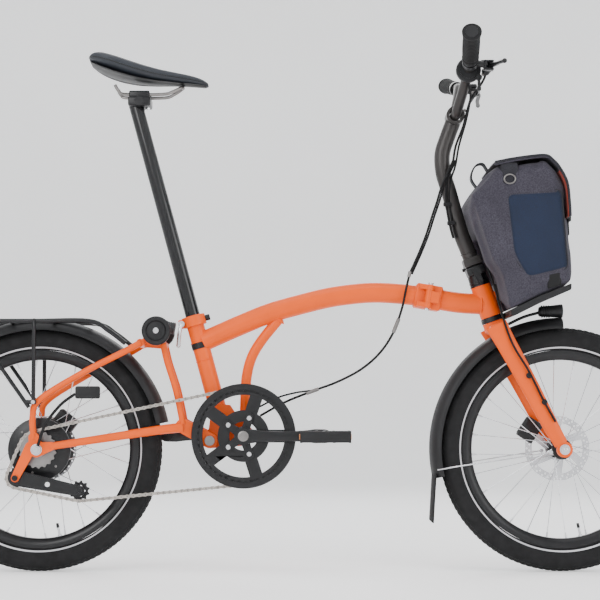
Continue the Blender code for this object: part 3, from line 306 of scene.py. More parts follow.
def cylinder(start, end, radius, end_radius=None, sides=32):
    start, end = Vector(start), Vector(end)
    bm = bmesh.new()
    end_radius = radius if end_radius is None else end_radius
    bmesh.ops.create_cone(
        bm, cap_ends=True, segments=sides, radius1=radius, radius2=end_radius, depth=(end - start).length
    )
    turn = (end - start).to_track_quat("Z", "Y").to_matrix().to_4x4()
    return object_of(bm, Matrix.Translation((start + end) / 2) @ turn)


def span(side, near, far):
    """The two distances from the middle plane as low and high y, on the given side."""
    return sorted((side * near, side * far))


def across(centre, low_y, high_y, radius, end_radius=None, sides=32):
    x, z = centre[0], centre[-1]
    return cylinder((x, low_y, z), (x, high_y, z), radius, end_radius, sides)


def ball(centre, radius, squash=(1, 1, 1)):
    bm = bmesh.new()
    bmesh.ops.create_uvsphere(bm, u_segments=24, v_segments=14, radius=radius)
    return object_of(bm, Matrix.Translation(centre) @ Matrix.Diagonal((*squash, 1)))


def box(low, high, matrix=None, edge=0.002, segments=3):
    low, high = Vector(low), Vector(high)
    bm = bmesh.new()
    bmesh.ops.create_cube(bm, size=1)
    bmesh.ops.scale(bm, vec=high - low, verts=bm.verts)
    bmesh.ops.translate(bm, vec=(low + high) / 2, verts=bm.verts)
    if edge:
        bmesh.ops.bevel(bm, geom=bm.edges, offset=edge, segments=segments, affect="EDGES", profile=0.5)
    return object_of(bm, matrix)


def smooth_path(points, per_span=6):
    """A Catmull-Rom curve through the points."""
    knots = [Vector(p) for p in points]
    knots = [2 * knots[0] - knots[1]] + knots + [2 * knots[-1] - knots[-2]]
    path = []
    for a, b, c, d in zip(knots, knots[1:], knots[2:], knots[3:]):
        for step in range(per_span):
            t = step / per_span
            square, cube = 2 * a - 5 * b + 4 * c - d, 3 * b - a - 3 * c + d
            path.append(0.5 * (2 * b + (c - a) * t + square * t**2 + cube * t**3))
    return path + [knots[-2]]


def tube(points, radius, end_radius=None, level=8, closed=False, flatten=1.0, y=0.0):
    curve = bpy.data.curves.new("tube", "CURVE")
    curve.dimensions = "3D"
    curve.bevel_depth = radius
    curve.bevel_resolution = level
    curve.use_fill_caps = not closed
    spline = curve.splines.new("POLY")
    spline.points.add(len(points) - 1)
    spline.use_cyclic_u = closed
    taper = 1.0 if end_radius is None else end_radius / radius
    for index, (knot, place) in enumerate(zip(spline.points, points)):
        knot.co = (*place, 1)
        knot.radius = 1 + (taper - 1) * index / (len(points) - 1)
    made = as_mesh(bpy.data.objects.new("tube", curve))
    if flatten != 1.0 or y:
        made.data.transform(Matrix.Translation((0, y, 0)) @ Matrix.Diagonal((1, flatten, 1, 1)))
    return made


def plate(outline, centre_y, thickness, holes=()):
    """A flat outline of (x, z) points with holes, standing in the XZ plane."""
    curve = bpy.data.curves.new("plate", "CURVE")
    curve.dimensions = "2D"
    curve.fill_mode = "BOTH"
    curve.extrude = thickness / 2
    for loop in (outline, *holes):
        spline = curve.splines.new("POLY")
        spline.points.add(len(loop) - 1)
        spline.use_cyclic_u = True
        for knot, (x, z) in zip(spline.points, loop):
            knot.co = (x, z, 0, 1)
    made = bpy.data.objects.new("plate", curve)
    made.matrix_world = Matrix.Translation((0, centre_y, 0)) @ Matrix.Rotation(math.pi / 2, 4, "X")
    return as_mesh(made)


def bridge(bm, near, far, closed=True):
    """Joins two rows of vertices by a band of faces."""
    count = len(near)
    for i in range(count if closed else count - 1):
        j = (i + 1) % count
        bm.faces.new((near[i], near[j], far[j], far[i]))


def turned(profile, centre, steps=128, shift=None):
    """A ring about a line along Y from a closed (radius, y) profile, whose radii shift may change."""
    bm = bmesh.new()
    rows = []
    for step in range(steps):
        angle = math.tau * step / steps
        row = []
        for radius, y in profile:
            r = radius if shift is None else shift(angle, radius, y)
            row.append(bm.verts.new((centre[0] + r * math.cos(angle), y, centre[-1] + r * math.sin(angle))))
        rows.append(row)
    for step in range(steps):
        bridge(bm, rows[step], rows[(step + 1) % steps])
    return object_of(bm)


def loft(rings):
    bm = bmesh.new()
    rows = [[bm.verts.new(p) for p in ring] for ring in rings]
    for near, far in zip(rows, rows[1:]):
        bridge(bm, near, far)
    bm.faces.new(rows[0][::-1])
    bm.faces.new(rows[-1])
    return object_of(bm)


def arc(centre, radius, start_deg, end_deg, count):
    angles = [math.radians(start_deg + (end_deg - start_deg) * i / (count - 1)) for i in range(count)]
    return [(centre[0] + radius * math.cos(a), centre[-1] + radius * math.sin(a)) for a in angles]


def spot(centre, radius, degrees):
    """The (x, z) point at that angle about the centre."""
    return arc(centre, radius, degrees, degrees, 2)[0]


def circle(centre, radius, count=96):
    return arc(centre, radius, 0, 360 - 360 / count, count)


def capsule(start, end, radius, end_radius=None, count=14):
    end_radius = radius if end_radius is None else end_radius
    lean = math.degrees(math.atan2(end[-1] - start[-1], end[0] - start[0]))
    far_end = arc(end, end_radius, lean - 90, lean + 90, count)
    return far_end + arc(start, radius, lean + 90, lean + 270, count)


def frame_of(origin, x_axis, z_axis):
    rotation = Matrix((x_axis, z_axis.cross(x_axis), z_axis)).transposed().to_4x4()
    return Matrix.Translation(origin) @ rotation


MAIN_HINGE = frame_of(HINGE, HINGE_FORWARD, HINGE_FORWARD.cross(Y_AXIS))
STEM_HINGE_FRAME = frame_of(STEM_HINGE, HEAD_DIRECTION, Y_AXIS.cross(HEAD_DIRECTION))
SEAT_FRAME = frame_of(SEAT_FOOT, SEAT_FORWARD, SEAT_DIRECTION)
HEAD_FRAME = frame_of(HEAD_FOOT, HEAD_FORWARD, HEAD_DIRECTION)


def moved(shape, matrix):
    shape.data.transform(matrix)
    return shape


def mirrored(points):
    return list(points) + [(x, -y, z) for x, y, z in reversed(points) if abs(y) > 1e-6]


def seat_point(distance):
    return SEAT_FOOT + distance * SEAT_DIRECTION


def head_point(distance, forward=0.0):
    return HEAD_FOOT + distance * HEAD_DIRECTION + forward * HEAD_FORWARD


def hex_bolt(x, y, z, side, radius=0.0045, height=0.003):
    """A round bolt head with a hexagon socket, facing along Y on the given side."""
    far = y + side * height
    shoulder = far - side * height * 0.3
    rim = [(radius * 0.5, far), (radius * 0.86, far), (radius, shoulder), (radius, y), (radius * 0.5, y)]
    socket = across((x, z), *sorted((y, far - side * height * 0.45)), radius * 0.56, sides=6)
    return [turned(rim, (x, 0, z), 20), socket]


def ring_bead(centre, normal, radius, thickness=0.0016):
    """A weld bead or a gasket: a thin ring about a normal."""
    normal = Vector(normal).normalized()
    turn = normal.to_track_quat("Z", "Y").to_matrix()
    points = [Vector(centre) + turn @ Vector((radius * math.cos(a), radius * math.sin(a), 0))
              for a in (math.tau * i / 40 for i in range(40))]
    return tube(points, thickness, level=4, closed=True)


def carve(shape, *cutters):
    """The shape with the cutters' room taken out of it."""
    scene = bpy.context.scene.collection
    scene.objects.link(shape)
    for cutter in cutters:
        scene.objects.link(cutter)
        modifier = shape.modifiers.new("Boolean", "BOOLEAN")
        modifier.operation = "DIFFERENCE"
        modifier.object = cutter
    bpy.context.view_layer.update()
    mesh = bpy.data.meshes.new_from_object(shape.evaluated_get(bpy.context.evaluated_depsgraph_get()))
    bpy.data.objects.remove(shape)
    for cutter in cutters:
        bpy.data.objects.remove(cutter)
    return bpy.data.objects.new("shape", mesh)


def subdivide(obj):
    finer = obj.modifiers.new("Subdivision", "SUBSURF")
    finer.levels = finer.render_levels = 1


def piece(name, shapes, body, material, replaces=(), bevel=0.0, sharp=38):
    """Joins the shapes into one object, gives it its material and puts it on its body, if it has just one."""
    shapes = shapes if isinstance(shapes, (list, tuple)) else [shapes]
    bm = bmesh.new()
    for shape in shapes:
        bm.from_mesh(shape.data)
        bpy.data.objects.remove(shape)
    for face in bm.faces:
        face.material_index = 0
    mesh = bpy.data.meshes.new(name)
    bm.to_mesh(mesh)
    bm.free()
    obj = bpy.data.objects.new(name, mesh)
    bpy.context.scene.collection.objects.link(obj)
    mesh.materials.append(material)
    mesh.shade_smooth()
    mesh.set_sharp_from_angle(angle=math.radians(sharp))
    if bevel:
        rounding = obj.modifiers.new("Bevel", "BEVEL")
        rounding.width = bevel
        rounding.segments = 2
        rounding.limit_method = "ANGLE"
        rounding.angle_limit = math.radians(40)
        rounding.harden_normals = True
    if body:
        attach(obj, body)
    if replaces:
        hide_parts(*([replaces] if isinstance(replaces, str) else replaces))
    return obj


# Camera, lights and floor


def build_stage():
    """A pale floor that curves up into a round wall far outside every camera."""
    reach, bend, height, sides = 11.0, 3.0, 9.0, 96
    profile = [(0.0, 0.0), (2.0, 0.0), (5.0, 0.0)]
    profile += [
        (reach - bend + bend * math.sin(a), bend * (1 - math.cos(a)))
        for a in (math.pi / 2 * i / 16 for i in range(17))
    ]
    profile.append((reach, height))
    bm = bmesh.new()
    centre = bm.verts.new((0, 0, 0))
    angles = [math.tau * k / sides for k in range(sides)]
    rows = [[bm.verts.new((r * math.cos(a), r * math.sin(a), z)) for a in angles] for r, z in profile[1:]]
    for k in range(sides):
        j = (k + 1) % sides
        bm.faces.new((centre, rows[0][k], rows[0][j]))
        for low, high in zip(rows, rows[1:]):
            bm.faces.new((low[k], high[k], high[j], low[j]))
    mesh = bpy.data.meshes.new("floor")
    bm.to_mesh(mesh)
    bm.free()
    mesh.shade_smooth()
    floor = bpy.data.objects.new("floor", mesh)
    bpy.context.scene.collection.objects.link(floor)
    material, tree, shader, place = start_material("pale_floor", specular=0.2)
    broad = spread(tree, noise_of(tree, place, 1.5, 3.0), 0, 1)
    pale = blend_colors(tree, broad, (0.93, 0.93, 0.93), (0.96, 0.96, 0.96))
    tree.links.new(pale, shader.inputs["Base Color"])
    shader.inputs["Roughness"].default_value = 0.7
    shader.inputs["Emission Color"].default_value = (1, 1, 1, 1)
    shader.inputs["Emission Strength"].default_value = 0.35
    mesh.materials.append(material)


def area_light(name, place, target, size, power):
    lamp = bpy.data.lights.new(name, "AREA")
    lamp.shape = "RECTANGLE"
    lamp.size, lamp.size_y = size
    lamp.energy = power
    light = bpy.data.objects.new(name, lamp)
    light.location = place
    light.rotation_euler = (Vector(target) - Vector(place)).to_track_quat("-Z", "Y").to_euler()
    bpy.context.scene.collection.objects.link(light)


def build_lights():
    world = bpy.data.worlds.new("soft_surround")
    world.use_nodes = True
    background = world.node_tree.nodes["Background"]
    background.inputs["Color"].default_value = (0.95, 0.97, 1.0, 1)
    background.inputs["Strength"].default_value = 0.72
    bpy.context.scene.world = world
    middle = (0, 0, 0.5)
    area_light("overhead", (-0.3, -0.6, 3.2), middle, (3.4, 2.2), 62)
    area_light("drive_side_key", (-1.9, -2.9, 1.9), middle, (1.8, 1.6), 58)
    area_light("front_fill", (2.6, -2.2, 1.2), middle, (1.6, 1.8), 30)
    area_light("far_side", (0.4, 2.6, 2.2), middle, (2.2, 1.4), 34)


def build_camera():
    lens = bpy.data.cameras.new("camera")
    lens.lens = 104.4
    lens.sensor_width = 36
    camera = bpy.data.objects.new("camera", lens)
    camera.location = (-0.0015, -3.7, 0.35)
    camera.rotation_euler = (math.radians(90 + 3.45), 0, 0)
    bpy.context.scene.collection.objects.link(camera)
    bpy.context.scene.camera = camera


# Frame


def hinge_leaf(frame, side, half_height, block_y, pin_y, knuckle_radius, depth):
    """One leaf's block and knuckles. Side -1 carries the outer knuckles, and side +1 the middle one."""
    ends = sorted((side * 0.0005, side * depth))
    shapes = [box((ends[0], block_y[0], -half_height), (ends[1], block_y[1], half_height), frame, 0.004, 4)]
    third = half_height * 0.5
    reach = half_height - 0.0012
    spans = [(-third + 0.0003, third - 0.0003)] if side > 0 else [(-reach, -third), (third, reach)]
    web = sorted((side * 0.0035, side * depth * 0.8))
    for low, high in spans:
        near, far = (web[0], pin_y - 0.006, low + 0.0007), (web[1], block_y[0] + 0.006, high - 0.0007)
        shapes.append(box(near, far, frame, 0.001))
        shapes.append(moved(cylinder((0, pin_y, low), (0, pin_y, high), knuckle_radius), frame))
    return shapes


def main_hinge_leaf(side):
    return hinge_leaf(MAIN_HINGE, side, 0.026, (-0.024, 0.026), MAIN_PIN_Y, 0.008, 0.028)


def stem_hinge_leaf(side):
    return hinge_leaf(STEM_HINGE_FRAME, side, 0.02, (-0.02, 0.022), STEM_PIN_Y, 0.0075, 0.02)


def bored(frame, pin_y, shapes):
    """The shapes with room for the hinge's pin."""
    return [carve(s, moved(cylinder((0, pin_y, -0.05), (0, pin_y, 0.05), PIN_BORE), frame)) for s in shapes]


def build_main_frame():
    main_tube = smooth_path(
        (
            (-0.208, 0, 0.484),
            (-0.129, 0, 0.519),
            (-0.065, 0, 0.545),
            (0.0, 0, 0.5635),
            (0.062, 0, 0.5785),
            (0.126, 0, 0.587),
            (0.1687, 0, 0.5885),
            (0.211, 0, 0.586),
            (0.246, 0, 0.5822),
        )
    )
    strut = smooth_path(
        (
            (-0.044, 0, 0.535),
            (-0.0823, 0, 0.488),
            (-0.1036, 0, 0.452),
            (-0.1142, 0, 0.4135),
            (-0.1174, 0, 0.371),
            (-0.119, 0, 0.297),
        )
    )
    gusset = (
        arc(REAR_PIVOT, 0.0165, 130, 285, 16)
        + arc(BOTTOM_BRACKET, 0.021, 265, 400, 16)
        + [(-0.132, 0.322), (-0.15, 0.35), (-0.172, 0.352), (-0.19, 0.33), (-0.194, 0.3)]
    )
    post_room = (seat_point(-0.08), seat_point(0.27), 0.0163)
    seat_tube = cylinder(seat_point(0.004), seat_point(0.248), 0.0185, sides=48)
    seat_tube = carve(seat_tube, cylinder(*post_room, sides=48))
    hinge = bored(MAIN_HINGE, MAIN_PIN_Y, main_hinge_leaf(-1))
    shapes = [
        seat_tube,
        carve(tube(main_tube, 0.0215), cylinder(*post_room, sides=48)),
        tube(strut, 0.011),
        across(BOTTOM_BRACKET, -0.034, 0.034, 0.02, sides=48),
        across(REAR_PIVOT, -0.0305, 0.0305, 0.013, sides=40),
        plate(gusset, -0.0185, 0.006),
        plate(gusset, 0.0185, 0.006),
        moved(cylinder((-0.024, 0.031, 0), (-0.006, 0.031, 0), 0.006), MAIN_HINGE),
        *hinge,
        ring_bead((-0.2145, 0, 0.4838), SEAT_DIRECTION, 0.0192, 0.0012),
        ring_bead(seat_point(0.15), SEAT_DIRECTION, 0.0187, 0.001),
        ring_bead((-0.047, 0, 0.531), (0.6, 0, 0.8), 0.0125, 0.0022),
        ring_bead((-0.1188, 0, 0.308), (0, 0, 1), 0.0118, 0.0022),
        ring_bead((0.2435, 0, 0.5825), HINGE_FORWARD, 0.0222, 0.0018),
    ]
    piece("main_frame", shapes, "main_frame", ORANGE, "main_frame", bevel=0.0007)
    band = [carve(cylinder(seat_point(0.176), seat_point(0.19), 0.0197, sides=48),
                  cylinder(seat_point(0.17), seat_point(0.2), 0.0187, sides=48))]
    piece("seat_tube_band", band, "main_frame", PLASTIC, bevel=0.0008)
    cups = [turned([(0.0205, s * 0.0342), (0.0205, s * 0.0365), (0.019, s * 0.0375), (0.01, s * 0.0375),
                    (0.01, s * 0.0342)], BOTTOM_BRACKET, 60) for s in (-1, 1)]
    piece("bottom_bracket_cups", cups, "main_frame", DARK_STEEL)


def build_pivot_hardware():
    ends = [across(REAR_PIVOT, *span(s, 0.0393, 0.0435), 0.0105, sides=40) for s in (-1, 1)]
    sockets = [across(REAR_PIVOT, *span(s, 0.0434, 0.044), 0.0045, sides=6) for s in (-1, 1)]
    axle = [across(REAR_PIVOT, -0.04, 0.04, 0.006), *ends, *sockets]
    piece("rear_pivot_axle", axle, "main_frame", DARK_STEEL, "rear_pivot_axle", bevel=0.001)
    head = 0.0263
    pin = [cylinder((0, MAIN_PIN_Y, -head - 0.002), (0, MAIN_PIN_Y, head + 0.002), PIN_RADIUS)]
    for s in (-1, 1):
        near, far = (0, MAIN_PIN_Y, s * head), (0, MAIN_PIN_Y, s * (head + 0.0035))
        pin.append(cylinder(near, far, 0.0059, sides=28))
    pin = [moved(shape, MAIN_HINGE) for shape in pin]
    piece("main_hinge_pin", pin, "main_frame", STEEL, "main_hinge_pin", bevel=0.0007)
    outline = capsule((-0.0135, 0), (-0.099, 0), 0.0105, 0.0075, 16)
    arm = moved(plate(outline, 0.0434, 0.005), MAIN_HINGE)
    cap = moved(cylinder((-0.008, 0.0432, -0.0085), (-0.008, 0.0432, 0.0085), 0.0042), MAIN_HINGE)
    piece("main_hinge_lever", [arm, cap], "main_hinge_lever", PLASTIC, "main_hinge_lever", bevel=0.0014)


def build_seat_clamp():
    ear = box((-0.033, -0.011, 0.227), (-0.02, 0.011, 0.246), SEAT_FRAME, 0.0025)
    collar = carve(cylinder(seat_point(0.2255), seat_point(0.2475), 0.025, sides=56),
                   cylinder(seat_point(0.2), seat_point(0.3), 0.0188, sides=56))
    piece("seat_clamp", [collar, ear], "main_frame", ORANGE, "seat_clamp", bevel=0.001)
    knob = moved(cylinder((0.022, 0, 0.2365), (0.0345, 0, 0.2365), 0.0065), SEAT_FRAME)
    bolt = moved(cylinder((-0.027, -0.0128, 0.236), (-0.027, 0.0165, 0.236), 0.0045), SEAT_FRAME)
    piece("seat_clamp_knob", knob, "main_frame", PLASTIC, bevel=0.0012)
    piece("seat_clamp_bolt", bolt, "main_frame", STEEL, bevel=0.0008)
    x, y, z = SEAT_FRAME @ Vector((-0.027, -0.0205, 0.236))
    run = ((x, y, z), (x - 0.004, y - 0.004, z - 0.02), (x - 0.006, y - 0.003, z - 0.046))
    arm = tube(smooth_path(run), 0.0042)
    tip = ball((x - 0.006, y - 0.003, z - 0.0455), 0.0046)
    hub = across((x, z), y - 0.0035, y + 0.0035, 0.0068)
    piece("seat_clamp_lever", [hub, arm, tip], "seat_clamp_lever", STEEL, "seat_clamp_lever", bevel=0.0008)


def build_front_frame():
    tube_path = smooth_path(((0.292, 0, 0.5745), (0.32, 0, 0.5695), (0.35, 0, 0.566), (0.39, 0, 0.564)))
    bore = cylinder(head_point(-0.02), head_point(0.09), STEERER_BORE, sides=48)
    head_tube = carve(cylinder(head_point(0), head_point(0.073), 0.0235, 0.0215, sides=56), bore)
    mount = cylinder(head_point(0.04, 0.012), head_point(0.04, 0.03), 0.009)
    hinge = bored(MAIN_HINGE, MAIN_PIN_Y, main_hinge_leaf(1))
    beads = [
        ring_bead((0.3835, 0, 0.5645), (0.97, 0, -0.03), 0.0226, 0.0018),
        ring_bead((0.2985, 0, 0.5735), HINGE_FORWARD, 0.0226, 0.0016),
    ]
    tube_shape = carve(
        tube(tube_path, 0.022), cylinder(head_point(-0.02), head_point(0.09), STEERER_BORE, sides=48)
    )
    shapes = [head_tube, tube_shape, mount, *hinge, *beads]
    piece("front_frame", shapes, "front_frame", ORANGE, "front_frame", bevel=0.0007)
    lower = carve(cylinder(head_point(-0.0113), head_point(-0.0004), 0.025, 0.024, sides=56),
                  cylinder(head_point(-0.03), head_point(0.02), STEERER_BORE, sides=48))
    piece("headset_lower", lower, "front_frame", BLACK, "headset_lower", bevel=0.0012)
    upper = carve(cylinder(head_point(0.069), head_point(0.0732), 0.0222, sides=56),
                  cylinder(head_point(0.05), head_point(0.09), STEERER_BORE, sides=48))
    piece("headset_upper", upper, "front_frame", BLACK, bevel=0.0008)
    block = box((0.025, -0.02, 0.02), (0.042, 0.02, 0.062), HEAD_FRAME, 0.003, 4)
    lug = cylinder(head_point(0.04, 0.008), head_point(0.04, 0.0304), 0.0093, sides=32)
    latch = box((0.0405, -0.007, 0.05), (0.0445, 0.007, 0.066), HEAD_FRAME, 0.0015)
    piece("carrier_block", [carve(block, lug), latch], "front_frame", PLASTIC, "carrier_block", bevel=0.0008)


def build_fork():
    shapes = []
    for side in (-1, 1):
        path = smooth_path(
            ((0.409, 0, 0.517), (0.428, 0, 0.482), (0.478, 0, 0.39), (0.52, 0, 0.309), (0.543, 0, 0.268))
        )
        shapes.append(tube(path, 0.0235, 0.0145, level=10, flatten=0.45, y=side * 0.062))
        shapes.append(across(FRONT_AXLE, *span(side, 0.0545, 0.0675), 0.0165, sides=48))
    shapes.append(box((-0.017, -0.068, -0.036), (0.017, 0.068, -0.017), HEAD_FRAME, 0.007, 5))
    shapes.append(cylinder(head_point(-0.03), head_point(-0.0117), 0.024, sides=48))
    shapes.append(cylinder(head_point(-0.025), head_point(0.1), 0.0142, sides=40))
    piece("fork", shapes, "fork", ORANGE, "fork", bevel=0.0009)
    axle = [across(FRONT_AXLE, -0.079, 0.079, 0.005)]
    for side in (-1, 1):
        axle.append(across(FRONT_AXLE, *span(side, 0.0695, 0.076), 0.0095, sides=6))
        axle.append(across(FRONT_AXLE, *span(side, 0.068, 0.0697), 0.011, sides=36))
        axle.append(ball((FRONT_AXLE.x, side * 0.078, FRONT_AXLE.z), 0.005, (1, 0.4, 1)))
    piece("front_axle", axle, "fork", STEEL, "front_axle", bevel=0.0006)
    bosses = []
    for x, z in ((0.4755, 0.411), (0.5075, 0.356)):
        bosses += hex_bolt(x, -0.0722, z, -1, 0.0062, 0.0036)
    piece("fork_bosses", bosses, "fork", BLACK, bevel=0.0005)


def build_stem():
    neck = carve(cylinder(head_point(0.0734), STEM_HINGE - 0.012 * HEAD_DIRECTION, 0.0215, 0.02, sides=56),
                 cylinder(head_point(0.03), head_point(0.1008), 0.0146, sides=40))
    leaf = stem_hinge_leaf(-1)
    pin = moved(cylinder((0, STEM_PIN_Y, -0.023), (0, STEM_PIN_Y, 0.023), PIN_RADIUS), STEM_HINGE_FRAME)
    ring = ring_bead(head_point(0.0785), HEAD_DIRECTION, 0.0215, 0.001)
    piece("stem_hinge_base", [neck, ring, *leaf, pin], "fork", BLACK, "stem_hinge_base", bevel=0.0008)
    outline = capsule((-0.0128, 0), (-0.035, 0), 0.0092, 0.006, 14)
    arm = moved(plate(outline, 0.0273, 0.005), STEM_HINGE_FRAME)
    piece("stem_hinge_lever", arm, "stem_hinge_lever", PLASTIC, "stem_hinge_lever", bevel=0.0012)
    path = smooth_path(
        (
            STEM_HINGE + 0.012 * HEAD_DIRECTION,
            (0.3575, 0, 0.676),
            (0.3395, 0, 0.723),
            (0.317, 0, 0.804),
            (0.305, 0, 0.845),
            (0.303, 0, 0.886),
            (0.314, 0, 0.922),
            (0.3262, 0, 0.9545),
        )
    )
    leaf = bored(STEM_HINGE_FRAME, STEM_PIN_Y, stem_hinge_leaf(1))
    clamp = carve(cylinder((0.33, -0.026, 0.9665), (0.33, 0.026, 0.9665), 0.0195, sides=56),
                  cylinder((0.33, -0.04, 0.9665), (0.33, 0.04, 0.9665), 0.0131, sides=40))
    beads = [ring_bead((0.3585, 0, 0.6735), HEAD_DIRECTION, 0.0172, 0.0014)]
    shapes = [tube(path, 0.0168, level=10), clamp, *leaf, *beads]
    piece("stem", shapes, "stem", STEM_GREY, "stem", bevel=0.0008)
    bolts = []
    for side in (-1, 1):
        bolts.append(cylinder((0.349, side * 0.016, 0.977), (0.3525, side * 0.016, 0.979), 0.0038, sides=20))
    piece("stem_clamp_bolts", bolts, "stem", DARK_STEEL, bevel=0.0005)


# Cockpit


def bar_point(y):
    share = (abs(y) - 0.165) / 0.125
    return Vector((0.348 - 0.009 * share, y, 1.057 + 0.029 * share))


def bar_path(per_span=6):
    half = (
        (0.348, -0.165, 1.057),
        (0.3495, -0.125, 1.049),
        (0.343, -0.08, 1.015),
        (0.332, -0.045, 0.974),
        (0.33, -0.026, 0.9665),
        (0.33, 0.0, 0.9665),
    )
    return mirrored([(0.339, -0.29, 1.086), *smooth_path(half, per_span)])


def build_bars():
    piece("handlebar", tube(bar_path(), 0.0108, level=8), "stem", STEM_GREY, "handlebar")
    for name, side in (("right", -1), ("left", 1)):
        rings = []
        direction = (bar_point(side * 0.29) - bar_point(side * 0.17)).normalized()
        turn = direction.to_track_quat("Z", "Y").to_matrix()
        count = 78
        for index in range(count + 1):
            share = index / count
            place = bar_point(side * 0.17) + direction * (0.129 * share)
            body = 0.0153 + 0.0012 * math.sin(math.pi * share) + 0.0024 * max(0.0, share - 0.78) / 0.22
            rib = 0.0006 * (1 if (index // 2) % 2 and 0.1 < share < 0.9 else 0)
            collar = 0.0013 if share < 0.07 or share > 0.95 else 0.0
            radius = body + rib + collar
            ring = []
            for k in range(40):
                angle = math.tau * k / 40
                palm = 1 + 0.05 * math.cos(angle * 2)
                ring.append(place + turn @ Vector((math.cos(angle), math.sin(angle), 0)) * radius * palm)
            rings.append(ring)
        piece(f"grip_{name}", loft(rings), "stem", RUBBER, f"grip_{name}", sharp=55)
        end = bar_point(side * 0.17) + direction * 0.129
        plug = cylinder(end - direction * 0.001, end + direction * 0.0012, 0.0128)
        piece(f"grip_end_{name}", plug, "stem", PLASTIC, bevel=0.0008)
        inner = bar_point(side * 0.1605)
        clamp = cylinder(inner, inner + direction * 0.0088, 0.015, sides=44)
        piece(f"grip_clamp_{name}", clamp, "stem", BLACK, bevel=0.001)


def build_brakes():
    for name, side in (("right", -1), ("left", 1)):
        ring = carve(cylinder(bar_point(side * 0.146), bar_point(side * 0.16), 0.0165, sides=44),
                     cylinder(bar_point(side * 0.14), bar_point(side * 0.17), 0.0112, sides=40))
        y = side * 0.153
        arm = cylinder((0.358, y, 1.053), (0.384, y, 1.048), 0.0068)
        barrel = cylinder((0.384, side * 0.118, 1.041), (0.3905, side * 0.1385, 1.048), 0.009, sides=40)
        low_y, high_y = span(side, 0.12, 0.15)
        reservoir = box((0.371, low_y, 1.0515), (0.391, high_y, 1.0605), edge=0.003)
        low_y, high_y = side * 0.15 - 0.01, side * 0.15 + 0.01
        ears = [box((0.38, low_y, z - 0.002), (0.3975, high_y, z + 0.002), edge=0.0012)
                for z in (1.0395, 1.0565)]
        tie = box((0.377, low_y, 1.038), (0.383, high_y, 1.0585), edge=0.0015)
        shapes = [ring, arm, barrel, reservoir, tie, *ears]
        piece(f"brake_body_{name}", shapes, "stem", BLACK, f"brake_body_{name}", bevel=0.0006)
        lid = []
        for k in (0, 1):
            screw_y = side * (0.124 + 0.022 * k)
            lid.append(cylinder((0.381, screw_y, 1.06), (0.381, screw_y, 1.0612), 0.0016, sides=16))
        nut = [cylinder((0.38, side * 0.1075, 1.0375), (0.3843, side * 0.119, 1.0413), 0.0044, sides=6)]
        piece(f"brake_fittings_{name}", lid + nut, "stem", DARK_STEEL, bevel=0.0004)
        pivot = (0.3905, side * 0.15)
        hub = cylinder((*pivot, 1.0418), (*pivot, 1.0542), 0.0055)
        path = smooth_path(
            ((0.3915, side * 0.15, 1.048), (0.401, side * 0.185, 1.046), (0.402, side * 0.225, 1.041),
             (0.407, side * 0.262, 1.036))
        )
        blade = tube(path, 0.005, 0.0042)
        tip = ball(path[-1], 0.005)
        piece(f"brake_lever_{name}", [hub, blade, tip], f"brake_lever_{name}", BLACK, f"brake_lever_{name}",
              bevel=0.0006)


def build_shifter():
    centre = Vector((0.3485, -0.118, 1.0445))
    pod = [
        turned([(0.006, -0.1255), (0.0235, -0.1255), (0.0258, -0.1235), (0.0258, -0.1125), (0.0235, -0.1105),
                (0.006, -0.1105)], centre, 72),
        across(centre, -0.124, -0.112, 0.012, sides=40),
    ]
    pod[1] = carve(pod[1], tube(bar_path(3), 0.0114, level=5))
    piece("shifter_pod", pod, "stem", PLASTIC, "shifter_pod", bevel=0.0008)
    face = turned([(0.0165, -0.1262), (0.0185, -0.1262), (0.0185, -0.125), (0.0165, -0.125)], centre, 60)
    piece("shifter_ring", face, "stem", BLACK)
    hub = across((0.369, 1.027), -0.1345, -0.1265, 0.0065)
    arm = box((0.366, -0.1345, 0.999), (0.372, -0.1275, 1.027), edge=0.0018, segments=4)
    pad = box((0.365, -0.1347, 0.9992), (0.3735, -0.1272, 1.0075), edge=0.0018)
    piece("thumb_lever", [hub, arm, pad], "thumb_lever", PLASTIC, "thumb_lever", bevel=0.0005)


# Seat


def rail_path(per_span=6):
    half = (
        (-0.395, 0.034, 1.029),
        (-0.388, 0.028, 1.018),
        (-0.374, 0.022, 1.011),
        (-0.295, 0.022, 1.011),
        (-0.272, 0.018, 1.018),
        (-0.255, 0.01, 1.0275),
        (-0.252, 0.0, 1.0275),
    )
    return smooth_path(mirrored(half), per_span)


def build_seat():
    post = cylinder(seat_point(0.15), seat_point(0.718), 0.0156, sides=64)
    piece("seatpost", post, "seatpost", GLOSS, "seatpost", bevel=0.0008)
    clamp = [box((-0.368, -0.03, 0.986), (-0.32, 0.03, 1.0065), edge=0.004, segments=4)]
    for y in (-0.022, 0.022):
        cradle = box((-0.366, y - 0.0075, 1.004), (-0.322, y + 0.0075, 1.0185), edge=0.003)
        clamp.append(carve(cradle, tube(rail_path(3), 0.0038, level=4)))
    clamp.append(cylinder((-0.344, -0.0315, 0.996), (-0.344, 0.0315, 0.996), 0.01, sides=40))
    piece("seatpost_clamp", clamp, "seatpost", BLACK, bevel=0.0008)
    bolts = []
    for x in (-0.36, -0.328):
        bolts.append(cylinder((x, 0, 0.984), (x, 0, 1.016), 0.003, sides=20))
        bolts.append(cylinder((x, 0, 0.982), (x, 0, 0.9862), 0.0052, sides=6))
    piece("seatpost_bolts", bolts, "seatpost", STEEL, bevel=0.0005)
    piece("saddle_rails", tube(rail_path(), 0.0035, level=6), "seatpost", DARK_STEEL, "saddle_rails")


